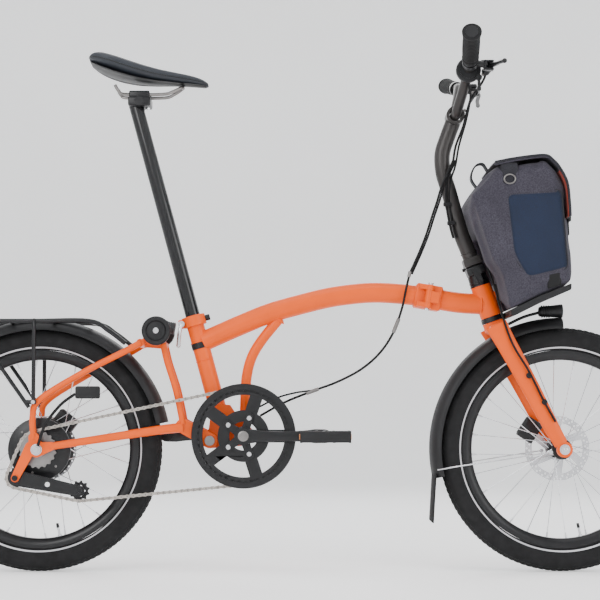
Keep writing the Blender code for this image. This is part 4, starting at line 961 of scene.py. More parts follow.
SADDLE_SECTIONS = (
    (-0.4495, 0.046, 1.09, 1.079),
    (-0.446, 0.056, 1.095, 1.074),
    (-0.438, 0.067, 1.0995, 1.069),
    (-0.424, 0.076, 1.0995, 1.062),
    (-0.41, 0.08, 1.097, 1.056),
    (-0.372, 0.076, 1.0855, 1.044),
    (-0.33, 0.0545, 1.0725, 1.037),
    (-0.29, 0.0365, 1.064, 1.0345),
    (-0.246, 0.0255, 1.057, 1.033),
    (-0.218, 0.0205, 1.05, 1.0305),
    (-0.203, 0.016, 1.0425, 1.029),
    (-0.1975, 0.01, 1.037, 1.03),
)


def saddle_ring(x, half_width, top, bottom, count=40):
    """One cross-section: a crowned top with a shallow channel, and sides that tuck in below."""
    ring = []
    for index in range(count):
        angle = math.tau * index / count
        s, c = math.sin(angle), math.cos(angle)
        y = math.copysign(abs(s) ** 0.8, s) * half_width
        middle = bottom + (top - bottom) * 0.62
        if c > 0:
            z = middle + (top - middle) * abs(c) ** 0.85
        else:
            z = middle - (middle - bottom) * abs(c) ** 0.7
        if c < 0:
            y *= 1 - 0.28 * abs(c) ** 2
        if c > 0.75:
            front_fade = min(1, max(0, (-0.225 - x) / 0.02))
            rear_fade = min(1, max(0, (x + 0.435) / 0.02))
            z -= 0.0022 * max(0, 1 - abs(y) / 0.011) * front_fade * rear_fade
        ring.append((x, y, z))
    return ring


def build_saddle():
    sections = []
    for a, b in zip(SADDLE_SECTIONS, SADDLE_SECTIONS[1:]):
        for step in range(3):
            sections.append(tuple(p + (q - p) * step / 3 for p, q in zip(a, b)))
    sections.append(SADDLE_SECTIONS[-1])
    smooth = []
    for index in range(len(sections)):
        near = sections[max(0, index - 2) : index + 3]
        smooth.append(tuple(sum(s[k] for s in near) / len(near) for k in range(4)))
    smooth[0], smooth[-1] = sections[0], sections[-1]
    cover = piece("saddle", loft([saddle_ring(*s) for s in smooth]), "seatpost", SADDLE, "saddle", sharp=60)
    subdivide(cover)
    seam = []
    for side in (-1, 1):
        line = []
        for x, half, top, bottom in smooth:
            line.append((x, side * (half * 0.985 + 0.0002), bottom + (top - bottom) * 0.5))
        seam.append(tube(line, 0.0009, level=3))
    piece("saddle_seam", seam, "seatpost", SADDLE_EDGE)
    base = []
    for section in smooth[2:-2]:
        highest = section[3] + 0.004
        base.append([(x, y * 0.86, min(z, highest) - 0.0012) for x, y, z in saddle_ring(*section)])
    piece("saddle_base", loft(base), "seatpost", SADDLE_EDGE, sharp=60)


# Wheels

TYRE_RADIUS = 0.257
TYRE_SECTION = 0.027
RIM_OUTER = 0.209


def wheel_arc(centre, radius, angle, y):
    return Vector((centre.x + radius * math.cos(angle), y, centre.z + radius * math.sin(angle)))


def build_tyre(end, centre, body):
    """The tyre: rounded, with grooves round its crown and blocks that step across its tread."""
    middle = TYRE_RADIUS - TYRE_SECTION
    half_opening = math.degrees(math.acos((RIM_OUTER + 0.0006 - middle) / TYRE_SECTION))
    profile = []
    count = 46
    for index in range(count + 1):
        angle = math.radians(half_opening * (2 * index / count - 1))
        reach = TYRE_SECTION
        lean = abs(math.degrees(angle))
        if lean < 52 and index % 4 == 1:
            reach -= 0.0013
        if 54 < lean < 60:
            reach -= 0.0008
        profile.append((middle + reach * math.cos(angle), reach * math.sin(angle)))

    def tread(angle, radius, y):
        if radius < middle + TYRE_SECTION * 0.62:
            return radius
        slant = angle * 120 + abs(y) * 160
        return radius - (0.0011 if math.sin(slant) > 0.55 else 0.0)

    piece(f"{end}_tyre", turned(profile, centre, 480, tread), body, TYRE, f"{end}_tyre", sharp=30)
    stripes = []
    for side in (-1, 1):
        band = []
        for radius, lift in ((0.2125, 0.0003), (0.2157, 0.0003), (0.2157, -0.0006), (0.2125, -0.0006)):
            y = math.sqrt(TYRE_SECTION**2 - (radius - middle) ** 2)
            band.append((radius, side * (y + lift)))
        stripes.append(turned(band, centre, 160))
    piece(f"{end}_tyre_stripes", stripes, body, REFLECTIVE)


def build_rim(end, centre, body, spoke_count, flange_radius, flange_y, cross):
    profile = (
        (0.209, 0.0138), (0.2086, 0.0146), (0.203, 0.0146), (0.199, 0.0142), (0.192, 0.0105),
        (0.1885, 0.0066), (0.188, 0.003), (0.188, -0.003), (0.1885, -0.0066), (0.192, -0.0105),
        (0.199, -0.0142), (0.203, -0.0146), (0.2086, -0.0146), (0.209, -0.0138),
    )
    piece(f"{end}_rim", turned(profile, centre, 160), body, BLACK, f"{end}_rim", sharp=25)
    wires, nipples = [], []
    for index in range(spoke_count):
        side = 1 if index % 2 else -1
        turn = 1 if (index // 2) % 2 else -1
        outer = math.tau * index / spoke_count + 0.06
        inner = outer + turn * cross
        start = wheel_arc(centre, flange_radius, inner, side * flange_y)
        end_point = wheel_arc(centre, 0.1885, outer, side * 0.003)
        wires.append(cylinder(start, end_point, 0.001, sides=8))
        wires.append(ball(start, 0.0021))
        inward = (start - end_point).normalized()
        nipples.append(cylinder(end_point, end_point + inward * 0.0115, 0.0021, 0.0017, sides=10))
    piece(f"{end}_spokes", wires, body, STEEL)
    piece(f"{end}_nipples", nipples, body, SILVER)
    base = wheel_arc(centre, 0.1888, -1.35, 0)
    tip = wheel_arc(centre, 0.162, -1.35, 0)
    inward = tip - base
    valve = [cylinder(base, tip, 0.0026, sides=16), cylinder(base, base + inward * 0.16, 0.0044, sides=16)]
    piece(f"{end}_valve", valve, body, SILVER, bevel=0.0004)
    cap = cylinder(tip - inward * 0.3, tip + inward * 0.06, 0.0034, 0.0028, 16)
    piece(f"{end}_valve_cap", cap, body, PLASTIC, bevel=0.0004)


def build_rotor(name, centre, body, low_y, high_y, hub_radius):
    """A brake rotor: a slotted ring on slanted arms, with a wavy outer edge."""
    ring_holes = []
    for index in range(30):
        for radius, shift in ((0.0655, 0.0), (0.06, 0.35)):
            angle = 360 * (index + shift) / 30
            x, z = spot(centre, radius, angle)
            ring_holes.append(circle((x, z), 0.0021, 10))
    windows = []
    for index in range(6):
        middle = 60 * index
        outer = arc(centre, 0.0545, middle - 20, middle + 20, 10)
        inner = arc(centre, hub_radius + 0.006, middle + 28, middle + 2, 6)
        windows.append(outer + inner)
    bore = circle(centre, 0.0075, 24)
    outline = []
    for k in range(144):
        angle = math.tau * k / 144
        radius = 0.0697 - 0.0011 * (0.5 + 0.5 * math.cos(12 * angle))
        outline.append((centre.x + radius * math.cos(angle), centre.z + radius * math.sin(angle)))
    disc = plate(outline, (low_y + high_y) / 2, high_y - low_y, [bore, *windows, *ring_holes])
    piece(name, disc, body, STEEL, name, bevel=0.0)
    cover = [turned([(0.0075, high_y), (0.019, high_y), (0.019, high_y + 0.0016), (0.0165, high_y + 0.0022),
                     (0.0075, high_y + 0.0022)], centre, 60)]
    for index in range(6):
        x, z = spot(centre, 0.0225, 60 * index + 12)
        cover += hex_bolt(x, high_y, z, 1, 0.003, 0.0014)
    piece(f"{name}_lockring", cover, body, BLACK)


def build_front_wheel():
    body = "front_wheel"
    build_tyre("front", FRONT_AXLE, body)
    build_rim("front", FRONT_AXLE, body, 28, 0.0185, 0.0275, 0.62)
    bore = 0.0055
    shell = (
        (bore, -0.05), (0.01, -0.05), (0.0112, -0.048), (0.0112, -0.033), (0.0135, -0.0306),
        (0.0212, -0.03), (0.0218, -0.029), (0.0218, -0.0266), (0.0205, -0.0254), (0.014, -0.0245),
        (0.0118, -0.018), (0.0112, 0.0), (0.0118, 0.018), (0.014, 0.0245), (0.0205, 0.0254),
        (0.0218, 0.0266), (0.0218, 0.029), (0.0212, 0.03), (0.0145, 0.0306), (0.0135, 0.033),
        (0.015, 0.04), (0.015, 0.0436), (bore, 0.0436),
    )
    piece("front_hub", turned(shell, FRONT_AXLE, 80), body, BLACK, "front_hub", sharp=30)
    build_rotor("front_rotor", FRONT_AXLE, body, 0.044, 0.046, 0.02)


def build_rear_wheel():
    body = "rear_wheel"
    build_tyre("rear", REAR_AXLE, body)
    build_rim("rear", REAR_AXLE, body, 28, 0.0625, 0.027, 0.42)
    bore = REAR_BORE
    shell = (
        (bore, -0.043), (0.019, -0.043), (0.02, -0.042), (0.0205, -0.037), (0.03, -0.0346),
        (0.047, -0.0335), (0.053, -0.0318), (0.06, -0.03), (0.0655, -0.0292), (0.066, -0.0282),
        (0.066, -0.0252), (0.064, -0.0238), (0.0605, -0.0225), (0.06, -0.015), (0.06, 0.015),
        (0.0605, 0.0225), (0.064, 0.0238), (0.066, 0.0252), (0.066, 0.0282), (0.0655, 0.0292),
        (0.06, 0.03), (0.047, 0.0335), (0.03, 0.0346), (0.0205, 0.037), (0.0195, 0.045), (bore, 0.045),
    )
    piece("rear_motor_hub", turned(shell, REAR_AXLE, 128), body, BLACK, "rear_motor_hub", sharp=30)
    screws = []
    for index in range(6):
        x, z = spot(REAR_AXLE, 0.0505, 60 * index + 15)
        for side in (-1, 1):
            screws += hex_bolt(x, side * 0.0322, z, side, 0.0026, 0.0014)
    piece("motor_screws", screws, body, DARK_STEEL)
    build_rotor("rear_rotor", REAR_AXLE, body, 0.0455, 0.0475, 0.02)
    teeth = toothed(REAR_AXLE, 0.039, 19)
    plate_shape = plate(teeth, -0.049, 0.003, [circle(REAR_AXLE, bore, 24)])
    collar = turned([(bore, -0.056), (0.015, -0.056), (0.017, -0.0545), (0.017, -0.0435), (bore, -0.0435)],
                    REAR_AXLE, 60)
    piece("rear_sprocket", [plate_shape, collar], "rear_sprocket", DARK_STEEL, "rear_sprocket", bevel=0.0003)


def toothed(centre, pitch_radius, teeth, depth=0.0027):
    """A toothed wheel's outline whose teeth reach a little past its pitch circle."""
    outline = []
    for k in range(teeth * 8):
        phase = k % 8
        radius = pitch_radius - depth + (0, 0.3, 1.3, 2.0, 2.0, 1.3, 0.3, 0)[phase] * depth * 0.65
        angle = math.tau * k / (teeth * 8)
        outline.append((centre.x + radius * math.cos(angle), centre.z + radius * math.sin(angle)))
    return outline


def build_caliper(name, axle, angle_deg, disc_y, body):
    angle = math.radians(angle_deg)
    outward = Vector((math.cos(angle), 0, math.sin(angle)))
    frame = frame_of(axle, outward, outward.cross(Y_AXIS))
    halves = [
        box((0.052, disc_y + 0.0022, -0.024), (0.09, disc_y + 0.009, 0.024), frame, 0.003, 4),
        box((0.052, disc_y - 0.0125, -0.024), (0.09, disc_y - 0.0022, 0.024), frame, 0.004, 4),
        box((0.0745, disc_y - 0.01, -0.021), (0.092, disc_y + 0.007, 0.021), frame, 0.003, 4),
        moved(cylinder((0.064, disc_y + 0.008, 0), (0.064, disc_y + 0.0102, 0), 0.0115, sides=40), frame),
    ]
    piece(name, halves, body, BLACK, name, bevel=0.0005)
    bolts = [moved(cylinder((0.082, disc_y + 0.0065, z), (0.082, disc_y + 0.01, z), 0.003, sides=6), frame)
             for z in (-0.017, 0.017)]
    piece(f"{name}_bolts", bolts, body, STEEL, bevel=0.0004)


# Rear frame


def build_rear_frame():
    shapes = []
    for side in (-1, 1):
        lug_y, stay_y = side * 0.0348, side * 0.064
        stay = smooth_path(((-0.248, lug_y, 0.303), (-0.3, side * 0.04, 0.297), (-0.42, side * 0.053, 0.279),
                            (-0.523, stay_y, 0.2635)))
        riser = smooth_path(((-0.556, stay_y, 0.279), (-0.559, stay_y, 0.325), (-0.545, stay_y, 0.361),
                             (-0.457, stay_y, 0.416), (-0.372, side * 0.06, 0.46),
                             (-0.337, side * 0.05, 0.48)))
        strut = smooth_path(((-0.29, side * 0.03, 0.478), (-0.281, side * 0.03, 0.44),
                             (-0.262, side * 0.034, 0.38), (-0.247, lug_y, 0.31)))
        shapes += [
            tube(stay, 0.0105, 0.0076),
            tube(riser, 0.0068, level=6),
            tube(strut, 0.007, level=6),
            plate(capsule((-0.248, 0.306), REAR_PIVOT, 0.015, 0.016), lug_y, 0.007,
                  [circle(REAR_PIVOT, REAR_BORE, 32)]),
            plate(capsule(REAR_AXLE, (-0.52, 0.264), 0.016, 0.009), side * 0.0662, 0.006,
                  [circle(REAR_AXLE, REAR_BORE, 32)]),
            plate(capsule((-0.556, 0.282), REAR_AXLE, 0.011, 0.015), side * 0.0658, 0.0064,
                  [circle(REAR_AXLE, REAR_BORE, 32)]),
            tube(((-0.337, side * 0.03, 0.48), (-0.3027, side * 0.03, 0.505)), 0.006, level=6),
        ]
    shapes += [
        across((-0.337, 0.48), -0.052, 0.052, 0.0085),
        across((-0.29, 0.476), -0.034, 0.034, 0.0075),
        across((-0.2485, 0.3065), -0.036, 0.036, 0.01),
        across(ROLLER, -0.05, 0.05, 0.008),
        tube(((-0.29, 0, 0.476), (-0.337, 0, 0.48)), 0.0075, level=6),
        tube(((-0.29, 0, 0.47), (-0.2962, 0, 0.512)), 0.0058, level=6),
        plate(capsule((-0.562, 0.262), GUIDE_PULLEY, 0.012, 0.0085), -0.066, 0.005),
        across(ROLLER, -0.07, 0.07, 0.004),
    ]
    piece("rear_frame", shapes, "rear_frame", ORANGE, "rear_frame", bevel=0.0006)
    ends = []
    for side in (-1, 1):
        ends += hex_bolt(ROLLER.x, side * 0.0695, ROLLER.z, side, 0.006, 0.0026)
    piece("roller_bolts", ends, "rear_frame", STEEL)
    axle = [across(REAR_AXLE, -0.083, 0.083, 0.006)]
    for side in (-1, 1):
        axle.append(across(REAR_AXLE, *span(side, 0.0712, 0.079), 0.0105, sides=6))
        axle.append(across(REAR_AXLE, *span(side, 0.0695, 0.0713), 0.012, sides=36))
    piece("rear_axle", axle, "rear_frame", STEEL, "rear_axle", bevel=0.0006)
    block = []
    start, end = Vector((-0.287, 0, 0.5155)), Vector((-0.267, 0, 0.512))
    for k in range(5):
        a, b = start + (end - start) * (k / 5), start + (end - start) * ((k + 0.82) / 5)
        block.append(cylinder(a, b, 0.013, sides=44))
    block.append(cylinder(start, end, 0.0115, sides=44))
    piece("suspension_block", block, "rear_frame", ELASTOMER, "suspension_block", bevel=0.0012)
    for name, side in (("roller_wheel_right", -1), ("roller_wheel_left", 1)):
        a, b = side * 0.051, side * 0.0685
        tread = [(0.007, a), (0.019, a + side * 0.0035), (0.022, a), (0.0285, a), (0.0302, a + side * 0.002),
                 (0.0305, a + side * 0.0055), (0.029, a + side * 0.0075), (0.029, b - side * 0.0075),
                 (0.0305, b - side * 0.0055), (0.0302, b - side * 0.002), (0.0285, b), (0.022, b),
                 (0.019, b - side * 0.0035), (0.007, b - side * 0.002), (0.0046, b - side * 0.002),
                 (0.0046, a), ]
        piece(name, turned(tread, ROLLER, 80), name.replace("_wheel", ""), PLASTIC, name, sharp=28)


# Drive


def belt_points(circles):
    """The pitch line of the taut chain round the toothed wheels, as evenly close (x, z) points."""
    leaving = []
    count = len(circles)
    for index in range(count):
        (a, ra), (b, rb) = circles[index], circles[(index + 1) % count]
        line = Vector((b.x - a.x, b.z - a.z))
        leaving.append(math.atan2(line.y, line.x) - math.pi / 2 - math.asin((rb - ra) / line.length))
    points = []
    for index in range(count):
        centre, radius = circles[index]
        start, end = math.degrees(leaving[index - 1]), math.degrees(leaving[index])
        while end < start:
            end += 360
        points += arc(centre, radius, start, end, max(8, int((end - start) / 2)))
    return [Vector((x, 0, z)) for x, z in points]


def even_places(points, count):
    """Places at equal steps along the closed line."""
    lengths = [(b - a).length for a, b in zip(points, points[1:] + points[:1])]
    total = sum(lengths)
    places = []
    index, passed = 0, 0.0
    for k in range(count):
        want = total * k / count
        while passed + lengths[index] < want:
            passed += lengths[index]
            index += 1
        a, b = points[index], points[(index + 1) % len(points)]
        places.append(a + (b - a) * ((want - passed) / lengths[index]))
    return places


def build_chain():
    belt = ((BOTTOM_BRACKET, 0.101), (REAR_AXLE, 0.039), (GUIDE_PULLEY, 0.0215), (JOCKEY_WHEEL, 0.0215))
    line = belt_points(belt)
    length = sum((b - a).length for a, b in zip(line, line[1:] + line[:1]))
    count = 2 * round(length / CHAIN_PITCH / 2)
    places = even_places(line, count)
    links = []
    for index in range(count):
        a, b = places[index], places[(index + 1) % count]
        outer = index % 2 == 0
        spread_y = 0.003 if outer else 0.002
        waist = []
        heading = math.degrees(math.atan2(b.z - a.z, b.x - a.x))
        middle = (a + b) / 2
        side_dir = Vector((-(b.z - a.z), 0, b.x - a.x)).normalized()
        radius = 0.0039 if outer else 0.0036
        waist += arc(b, radius, heading - 80, heading + 80, 7)
        waist.append(((middle + side_dir * 0.0026).x, (middle + side_dir * 0.0026).z))
        waist += arc(a, radius, heading + 100, heading + 260, 7)
        waist.append(((middle - side_dir * 0.0026).x, (middle - side_dir * 0.0026).z))
        for side in (-1, 1):
            links.append(plate(waist, CHAIN_Y + side * spread_y, 0.0009))
    piece("chain", links, "rear_frame", CHAIN_STEEL, "chain", sharp=30)
    pins = []
    for place in places:
        pins.append(across(place, CHAIN_Y - 0.0037, CHAIN_Y + 0.0037, 0.0017, sides=12))
        pins.append(across(place, CHAIN_Y - 0.0016, CHAIN_Y + 0.0016, 0.0037, sides=14))
    piece("chain_rollers", pins, "rear_frame", DARK_STEEL, sharp=30)


def build_tensioner():
    hole = [arc(GUIDE_PULLEY + (JOCKEY_WHEEL - GUIDE_PULLEY) * 0.5, 0.0052, 0, 345, 20)]
    arm = plate(capsule(GUIDE_PULLEY, JOCKEY_WHEEL, 0.0165, 0.0115), -0.058, 0.003, hole)
    inset_start = GUIDE_PULLEY + (JOCKEY_WHEEL - GUIDE_PULLEY) * 0.12
    inset = plate(capsule(inset_start, JOCKEY_WHEEL, 0.0125, 0.0085), -0.059, 0.002, hole)
    pins = [across(GUIDE_PULLEY, -0.073, -0.044, 0.004), across(JOCKEY_WHEEL, -0.061, -0.044, 0.004)]
    for place, y in ((GUIDE_PULLEY, -0.0715), (JOCKEY_WHEEL, -0.06)):
        pins += hex_bolt(place.x, y, place.z, -1, 0.0062, 0.0028)
    piece("tensioner_arm", [arm, inset, *pins], "tensioner", BLACK, "tensioner_arm", bevel=0.0005)
    for name, centre in (("guide_pulley", GUIDE_PULLEY), ("jockey_wheel", JOCKEY_WHEEL)):
        holes = [circle(centre, 0.0045, 20)]
        for k in range(5):
            x, z = spot(centre, 0.0105, 72 * k)
            holes.append(circle((x, z), 0.0022, 12))
        wheel = plate(toothed(centre, 0.021, 11, 0.003), -0.049, 0.0022, holes)
        rim = turned([(0.0045, -0.0525), (0.007, -0.0525), (0.007, -0.0455), (0.0045, -0.0455)], centre, 40)
        piece(name, [wheel, rim], name, PLASTIC, name, bevel=0.0003)


def ring_window(inner, outer, middle_deg, half_deg):
    return (
        arc(BOTTOM_BRACKET, outer, middle_deg - half_deg, middle_deg + half_deg, 18)
        + arc(BOTTOM_BRACKET, inner, middle_deg + half_deg * 0.8, middle_deg - half_deg * 0.8, 12)
    )


def slot_outline(centre, radius, angle_deg, half_deg, half_width):
    """A short curved slot about the centre."""
    outer = arc(centre, radius + half_width, angle_deg - half_deg, angle_deg + half_deg, 5)
    inner = arc(centre, radius - half_width, angle_deg + half_deg, angle_deg - half_deg, 5)
    return outer + inner


def build_chainring():
    windows = [ring_window(0.054, 0.086, 36 + 72 * i, 27) for i in range(5)]
    hole = circle(BOTTOM_BRACKET, 0.03, 48)
    ring = plate(toothed(BOTTOM_BRACKET, 0.0995, 50), CHAIN_Y, 0.0022, [hole, *windows])
    slots = [slot_outline(BOTTOM_BRACKET, 0.0945, 360 * i / 45, 2.1, 0.0021) for i in range(45)]
    guard = plate(circle(BOTTOM_BRACKET, 0.109, 160), -0.0553, 0.0022, [hole, *windows, *slots])
    spacers = []
    for index in range(5):
        x, z = spot(BOTTOM_BRACKET, 0.0905, 72 * index)
        spacers.append(across((x, z), -0.0556, -0.0485, 0.003, sides=20))
    piece("chainring", [ring, guard, *spacers], "crank", BLACK, "chainring", bevel=0.0004)
    rim = [(0.1072, -0.0567), (0.1088, -0.0567), (0.1094, -0.0558), (0.1088, -0.0542), (0.1072, -0.0542)]
    piece("guard_rim", turned(rim, BOTTOM_BRACKET, 160), "crank", PLASTIC)
    bolts = []
    for index in range(5):
        x, z = spot(BOTTOM_BRACKET, 0.039, 72 * index)
        bolts += hex_bolt(x, -0.0634, z, -1, 0.005, 0.0022)
    piece("chainring_bolts", bolts, "crank", STEEL)


def build_cranks():
    for name, side in (("crank_right", -1), ("crank_left", 1)):
        pedal_axle = BOTTOM_BRACKET - Vector((side * CRANK_LENGTH, 0, 0))
        rings = []
        for k in range(25):
            share = k / 24
            x = BOTTOM_BRACKET.x - side * (CRANK_LENGTH * share)
            half_z = 0.0175 - 0.006 * math.sin(math.pi * min(1, share * 1.15)) ** 0.8 - 0.003 * share
            half_y = 0.006 - 0.001 * share
            ring = []
            for j in range(20):
                a = math.tau * j / 20
                ring.append((x, side * 0.069 + half_y * math.copysign(abs(math.sin(a)) ** 0.5, math.sin(a)),
                             0.285 + half_z * math.copysign(abs(math.cos(a)) ** 0.6, math.cos(a))))
            rings.append(ring)
        arm = loft(rings)
        shapes = [arm]
        for place, radius in ((BOTTOM_BRACKET, 0.0185), (pedal_axle, 0.014)):
            shapes.append(across(place, *span(side, 0.0632, 0.0748), radius, sides=48))
        if side < 0:
            for index in range(5):
                x, z = spot(BOTTOM_BRACKET, 0.043, 72 * index)
                shapes.append(plate(capsule(BOTTOM_BRACKET, (x, z), 0.01, 0.0075), -0.0605, 0.006))
        else:
            shapes.append(across(BOTTOM_BRACKET, -0.075, 0.07, 0.0084))
        piece(name, shapes, "crank", BLACK, name, bevel=0.0009)
        axle = [across(pedal_axle, *span(side, 0.07, 0.15), 0.0062),
                across(pedal_axle, *span(side, 0.0755, 0.0785), 0.0085, sides=6)]
        piece(f"{name}_pedal_axle", axle, "crank", STEEL, bevel=0.0005)
        cap = hex_bolt(BOTTOM_BRACKET.x, side * 0.0745, BOTTOM_BRACKET.z, side, 0.011, 0.0022)
        piece(f"{name}_bolt", cap, "crank", DARK_STEEL)


def build_pedals():
    """Flat pedals: an outer cage with a wavy grip edge, cross bars and a barrel round the axle."""
    for name, side in (("pedal_right", -1), ("pedal_left", 1)):
        centre = BOTTOM_BRACKET - Vector((side * CRANK_LENGTH, 0, 0))
        low_y, high_y = sorted((side * 0.079, side * 0.169))
        outline_rings = []
        bars = []
        for sign in (-1, 1):
            for x_in in (0.052, 0.02):
                rings = []
                for k in range(49):
                    share = k / 48
                    y = low_y + 0.002 + (high_y - low_y - 0.004) * share
                    wave = 0.001 * math.cos(share * math.tau * 7)
                    top = 0.0112 + wave
                    x0 = centre.x + sign * (x_in - 0.005)
                    x1 = centre.x + sign * x_in
                    low_x, high_x = min(x0, x1), max(x0, x1)
                    rings.append([
                        (low_x, y, centre.z - top), (high_x, y, centre.z - top),
                        (high_x, y, centre.z + top), (low_x, y, centre.z + top),
                    ])
                outline_rings.append(loft(rings))
        for y0, y1 in ((low_y, low_y + 0.007), (high_y - 0.007, high_y)):
            low, high = (centre.x - 0.052, y0, centre.z - 0.0115), (centre.x + 0.052, y1, centre.z + 0.0115)
            bars.append(box(low, high, edge=0.003, segments=4))
        middle_y = (low_y + high_y) / 2
        for sign in (-1, 1):
            bars.append(box((centre.x + min(sign * 0.014, sign * 0.05), middle_y - 0.004, centre.z - 0.008),
                            (centre.x + max(sign * 0.014, sign * 0.05), middle_y + 0.004, centre.z + 0.008),
                            edge=0.0015))
        barrel = carve(across(centre, low_y + 0.001, high_y - 0.001, 0.0122, sides=36),
                       across(centre, *span(side, 0.05, 0.1505), 0.0068))
        bars = [carve(b, across(centre, *span(side, 0.05, 0.1505), 0.0068)) if i == (1 if side < 0 else 0)
                else b for i, b in enumerate(bars)]
        piece(name, [*outline_rings, *bars, barrel], name, PLASTIC, name, bevel=0.0006)
        reflectors = [box((centre.x + s * 0.0522 - 0.0012, middle_y - 0.02, centre.z - 0.0055),
                          (centre.x + s * 0.0522 + 0.0012, middle_y + 0.02, centre.z + 0.0055), edge=0.0006)
                      for s in (-1, 1)]
        piece(f"{name}_reflectors", reflectors, name, AMBER)


# Mudguards and rack


def build_mudguard(name, axle, outer, start_deg, end_deg, body, steps):
    """A thin curved shell over a tyre with rolled edges and a low crease along its middle."""
    bm = bmesh.new()
    bmesh.ops.create_grid(bm, x_segments=steps, y_segments=24, size=1)
    for vert in bm.verts:
        angle = math.radians(start_deg + (end_deg - start_deg) * (vert.co.x + 1) / 2)
        lean = vert.co.y * math.pi / 2
        crease = 0.0008 * max(0, 1 - abs(vert.co.y) / 0.16) - 0.0006 * max(0, abs(vert.co.y) - 0.92) / 0.08
        radius = outer - 0.022 * (1 - math.cos(lean)) + crease
        point = (math.cos(angle) * radius, math.sin(lean) * 0.0325, math.sin(angle) * radius)
        vert.co = axle + Vector(point)
    piece(name, sheet_shape(bm, 0.0018, even=True), body, PLASTIC, name, sharp=60)


def build_mudguards():
    build_mudguard("front_mudguard", FRONT_AXLE, 0.2765, 89, 193, "fork", 90)
    build_mudguard("rear_mudguard", REAR_AXLE, 0.274, 12, 158, "rear_frame", 110)
    bm = bmesh.new()
    bmesh.ops.create_grid(bm, x_segments=14, y_segments=20, size=1)
    for vert in bm.verts:
        t = (1 - vert.co.x) / 2
        u = vert.co.y
        half = 0.0335 - 0.004 * t
        lean = u * 1.15
        centre_x = 0.2785 - 0.006 * t + 0.01 * (1 - math.cos(lean))
        z = 0.204 - 0.1 * t + 0.004 * math.cos(u * 2) * t
        vert.co = (centre_x, math.sin(lean) / math.sin(1.15) * half, z)
    piece("front_mud_flap", sheet_shape(bm, 0.0022), "fork", RUBBER, sharp=60)
    stays = []
    for side in (-1, 1):
        wire = ((0.288, side * 0.03, 0.2136), (0.33, side * 0.05, 0.222), (0.42, side * 0.068, 0.236),
                (0.52, side * 0.07, 0.2515))
        stays.append(tube(smooth_path(wire), 0.0016, level=4))
        stays.append(across((0.52, 0.2515), *span(side, 0.068, 0.0725), 0.0042, sides=24))
    piece("front_mudguard_stays", stays, "fork", STEEL)


def build_rear_fittings():
    """The motor's lead and its connector by the rear hub."""
    connector = box((-0.47, -0.0735, 0.363), (-0.418, -0.0645, 0.389), edge=0.004, segments=4)
    lead = tube(smooth_path(((-0.47, -0.069, 0.373), (-0.5, -0.072, 0.35), (-0.53, -0.078, 0.31),
                             (-0.545, -0.084, 0.265))), 0.0032, level=5)
    piece("motor_lead", lead, "rear_frame", RUBBER)
    piece("motor_connector", connector, "rear_frame", PLASTIC)


def build_rack():
    rail = smooth_path(
        (
            (-0.366, -0.066, 0.478),
            (-0.4, -0.07, 0.504),
            (-0.442, -0.072, 0.525),
            (-0.56, -0.072, 0.525),
            (-0.735, -0.072, 0.525),
            (-0.757, -0.06, 0.525),
            (-0.765, 0.0, 0.525),
        )
    )
    shapes = [tube(mirrored(rail), 0.0048, level=6)]
    for side in (-1, 1):
        y = side * 0.077
        upright = ((-0.556, side * 0.0735, 0.525), (-0.556, y, 0.51), (-0.556, y, 0.356))
        brace = ((-0.69, side * 0.0735, 0.525), (-0.685, y, 0.515), (-0.565, y, 0.345))
        shapes += [tube(smooth_path(run, 4), 0.0042, level=6) for run in (upright, brace)]
        shapes.append(tube(((-0.575, y, 0.356), (-0.55, y, 0.356)), 0.0046, level=6))
    for x in (-0.442, -0.52, -0.61, -0.7):
        shapes.append(across((x, 0.525), -0.0725, 0.0725, 0.0038, sides=24))
    shapes.append(tube(((-0.442, -0.024, 0.5262), (-0.757, -0.024, 0.5262)), 0.0034, level=6))
    shapes.append(tube(((-0.442, 0.024, 0.5262), (-0.757, 0.024, 0.5262)), 0.0034, level=6))
    piece("rear_rack", shapes, "rear_frame", BLACK, "rear_rack")
    bolts = []
    for side in (-1, 1):
        bolts += hex_bolt(-0.556, side * 0.081, 0.356, side, 0.0045, 0.0026)
    piece("rack_bolts", bolts, "rear_frame", STEEL)


def build_headlight():
    profile_points = ((0.506, 0.0085), (0.5085, 0.0108), (0.53, 0.0122), (0.552, 0.0144), (0.5566, 0.0146))
    rings = []
    for x, radius in profile_points:
        z = 0.548 + (x - 0.506) / 0.051 * 0.0015
        rings.append([(x, radius * math.cos(math.tau * k / 44), z + radius * math.sin(math.tau * k / 44))
                      for k in range(44)])
    fins = [cylinder((x, 0, 0.5483), (x + 0.0022, 0, 0.5484), 0.0133, sides=44)
            for x in (0.512, 0.517, 0.522, 0.527)]
    bracket = tube(smooth_path(((0.514, 0, 0.548), (0.475, 0, 0.537), (0.442, 0, 0.5215))), 0.0032, level=6)
    piece("headlight", [loft(rings), bracket, *fins], "fork", PLASTIC, "headlight", bevel=0.0006)
    lens = ball((0.5563, 0, 0.5495), 0.0128, (0.22, 1, 1))
    piece("headlight_lens", lens, "fork", LENS)


# Bag

BAG_OUTLINE = (
    (0.345, 0.7853), (0.3656, 0.8055), (0.3825, 0.824), (0.402, 0.847), (0.506, 0.861), (0.529, 0.839),
    (0.546, 0.8076), (0.56, 0.6392), (0.5581, 0.601), (0.4913, 0.574), (0.431, 0.545), (0.4111, 0.6186),
    (0.3907, 0.6432),
)


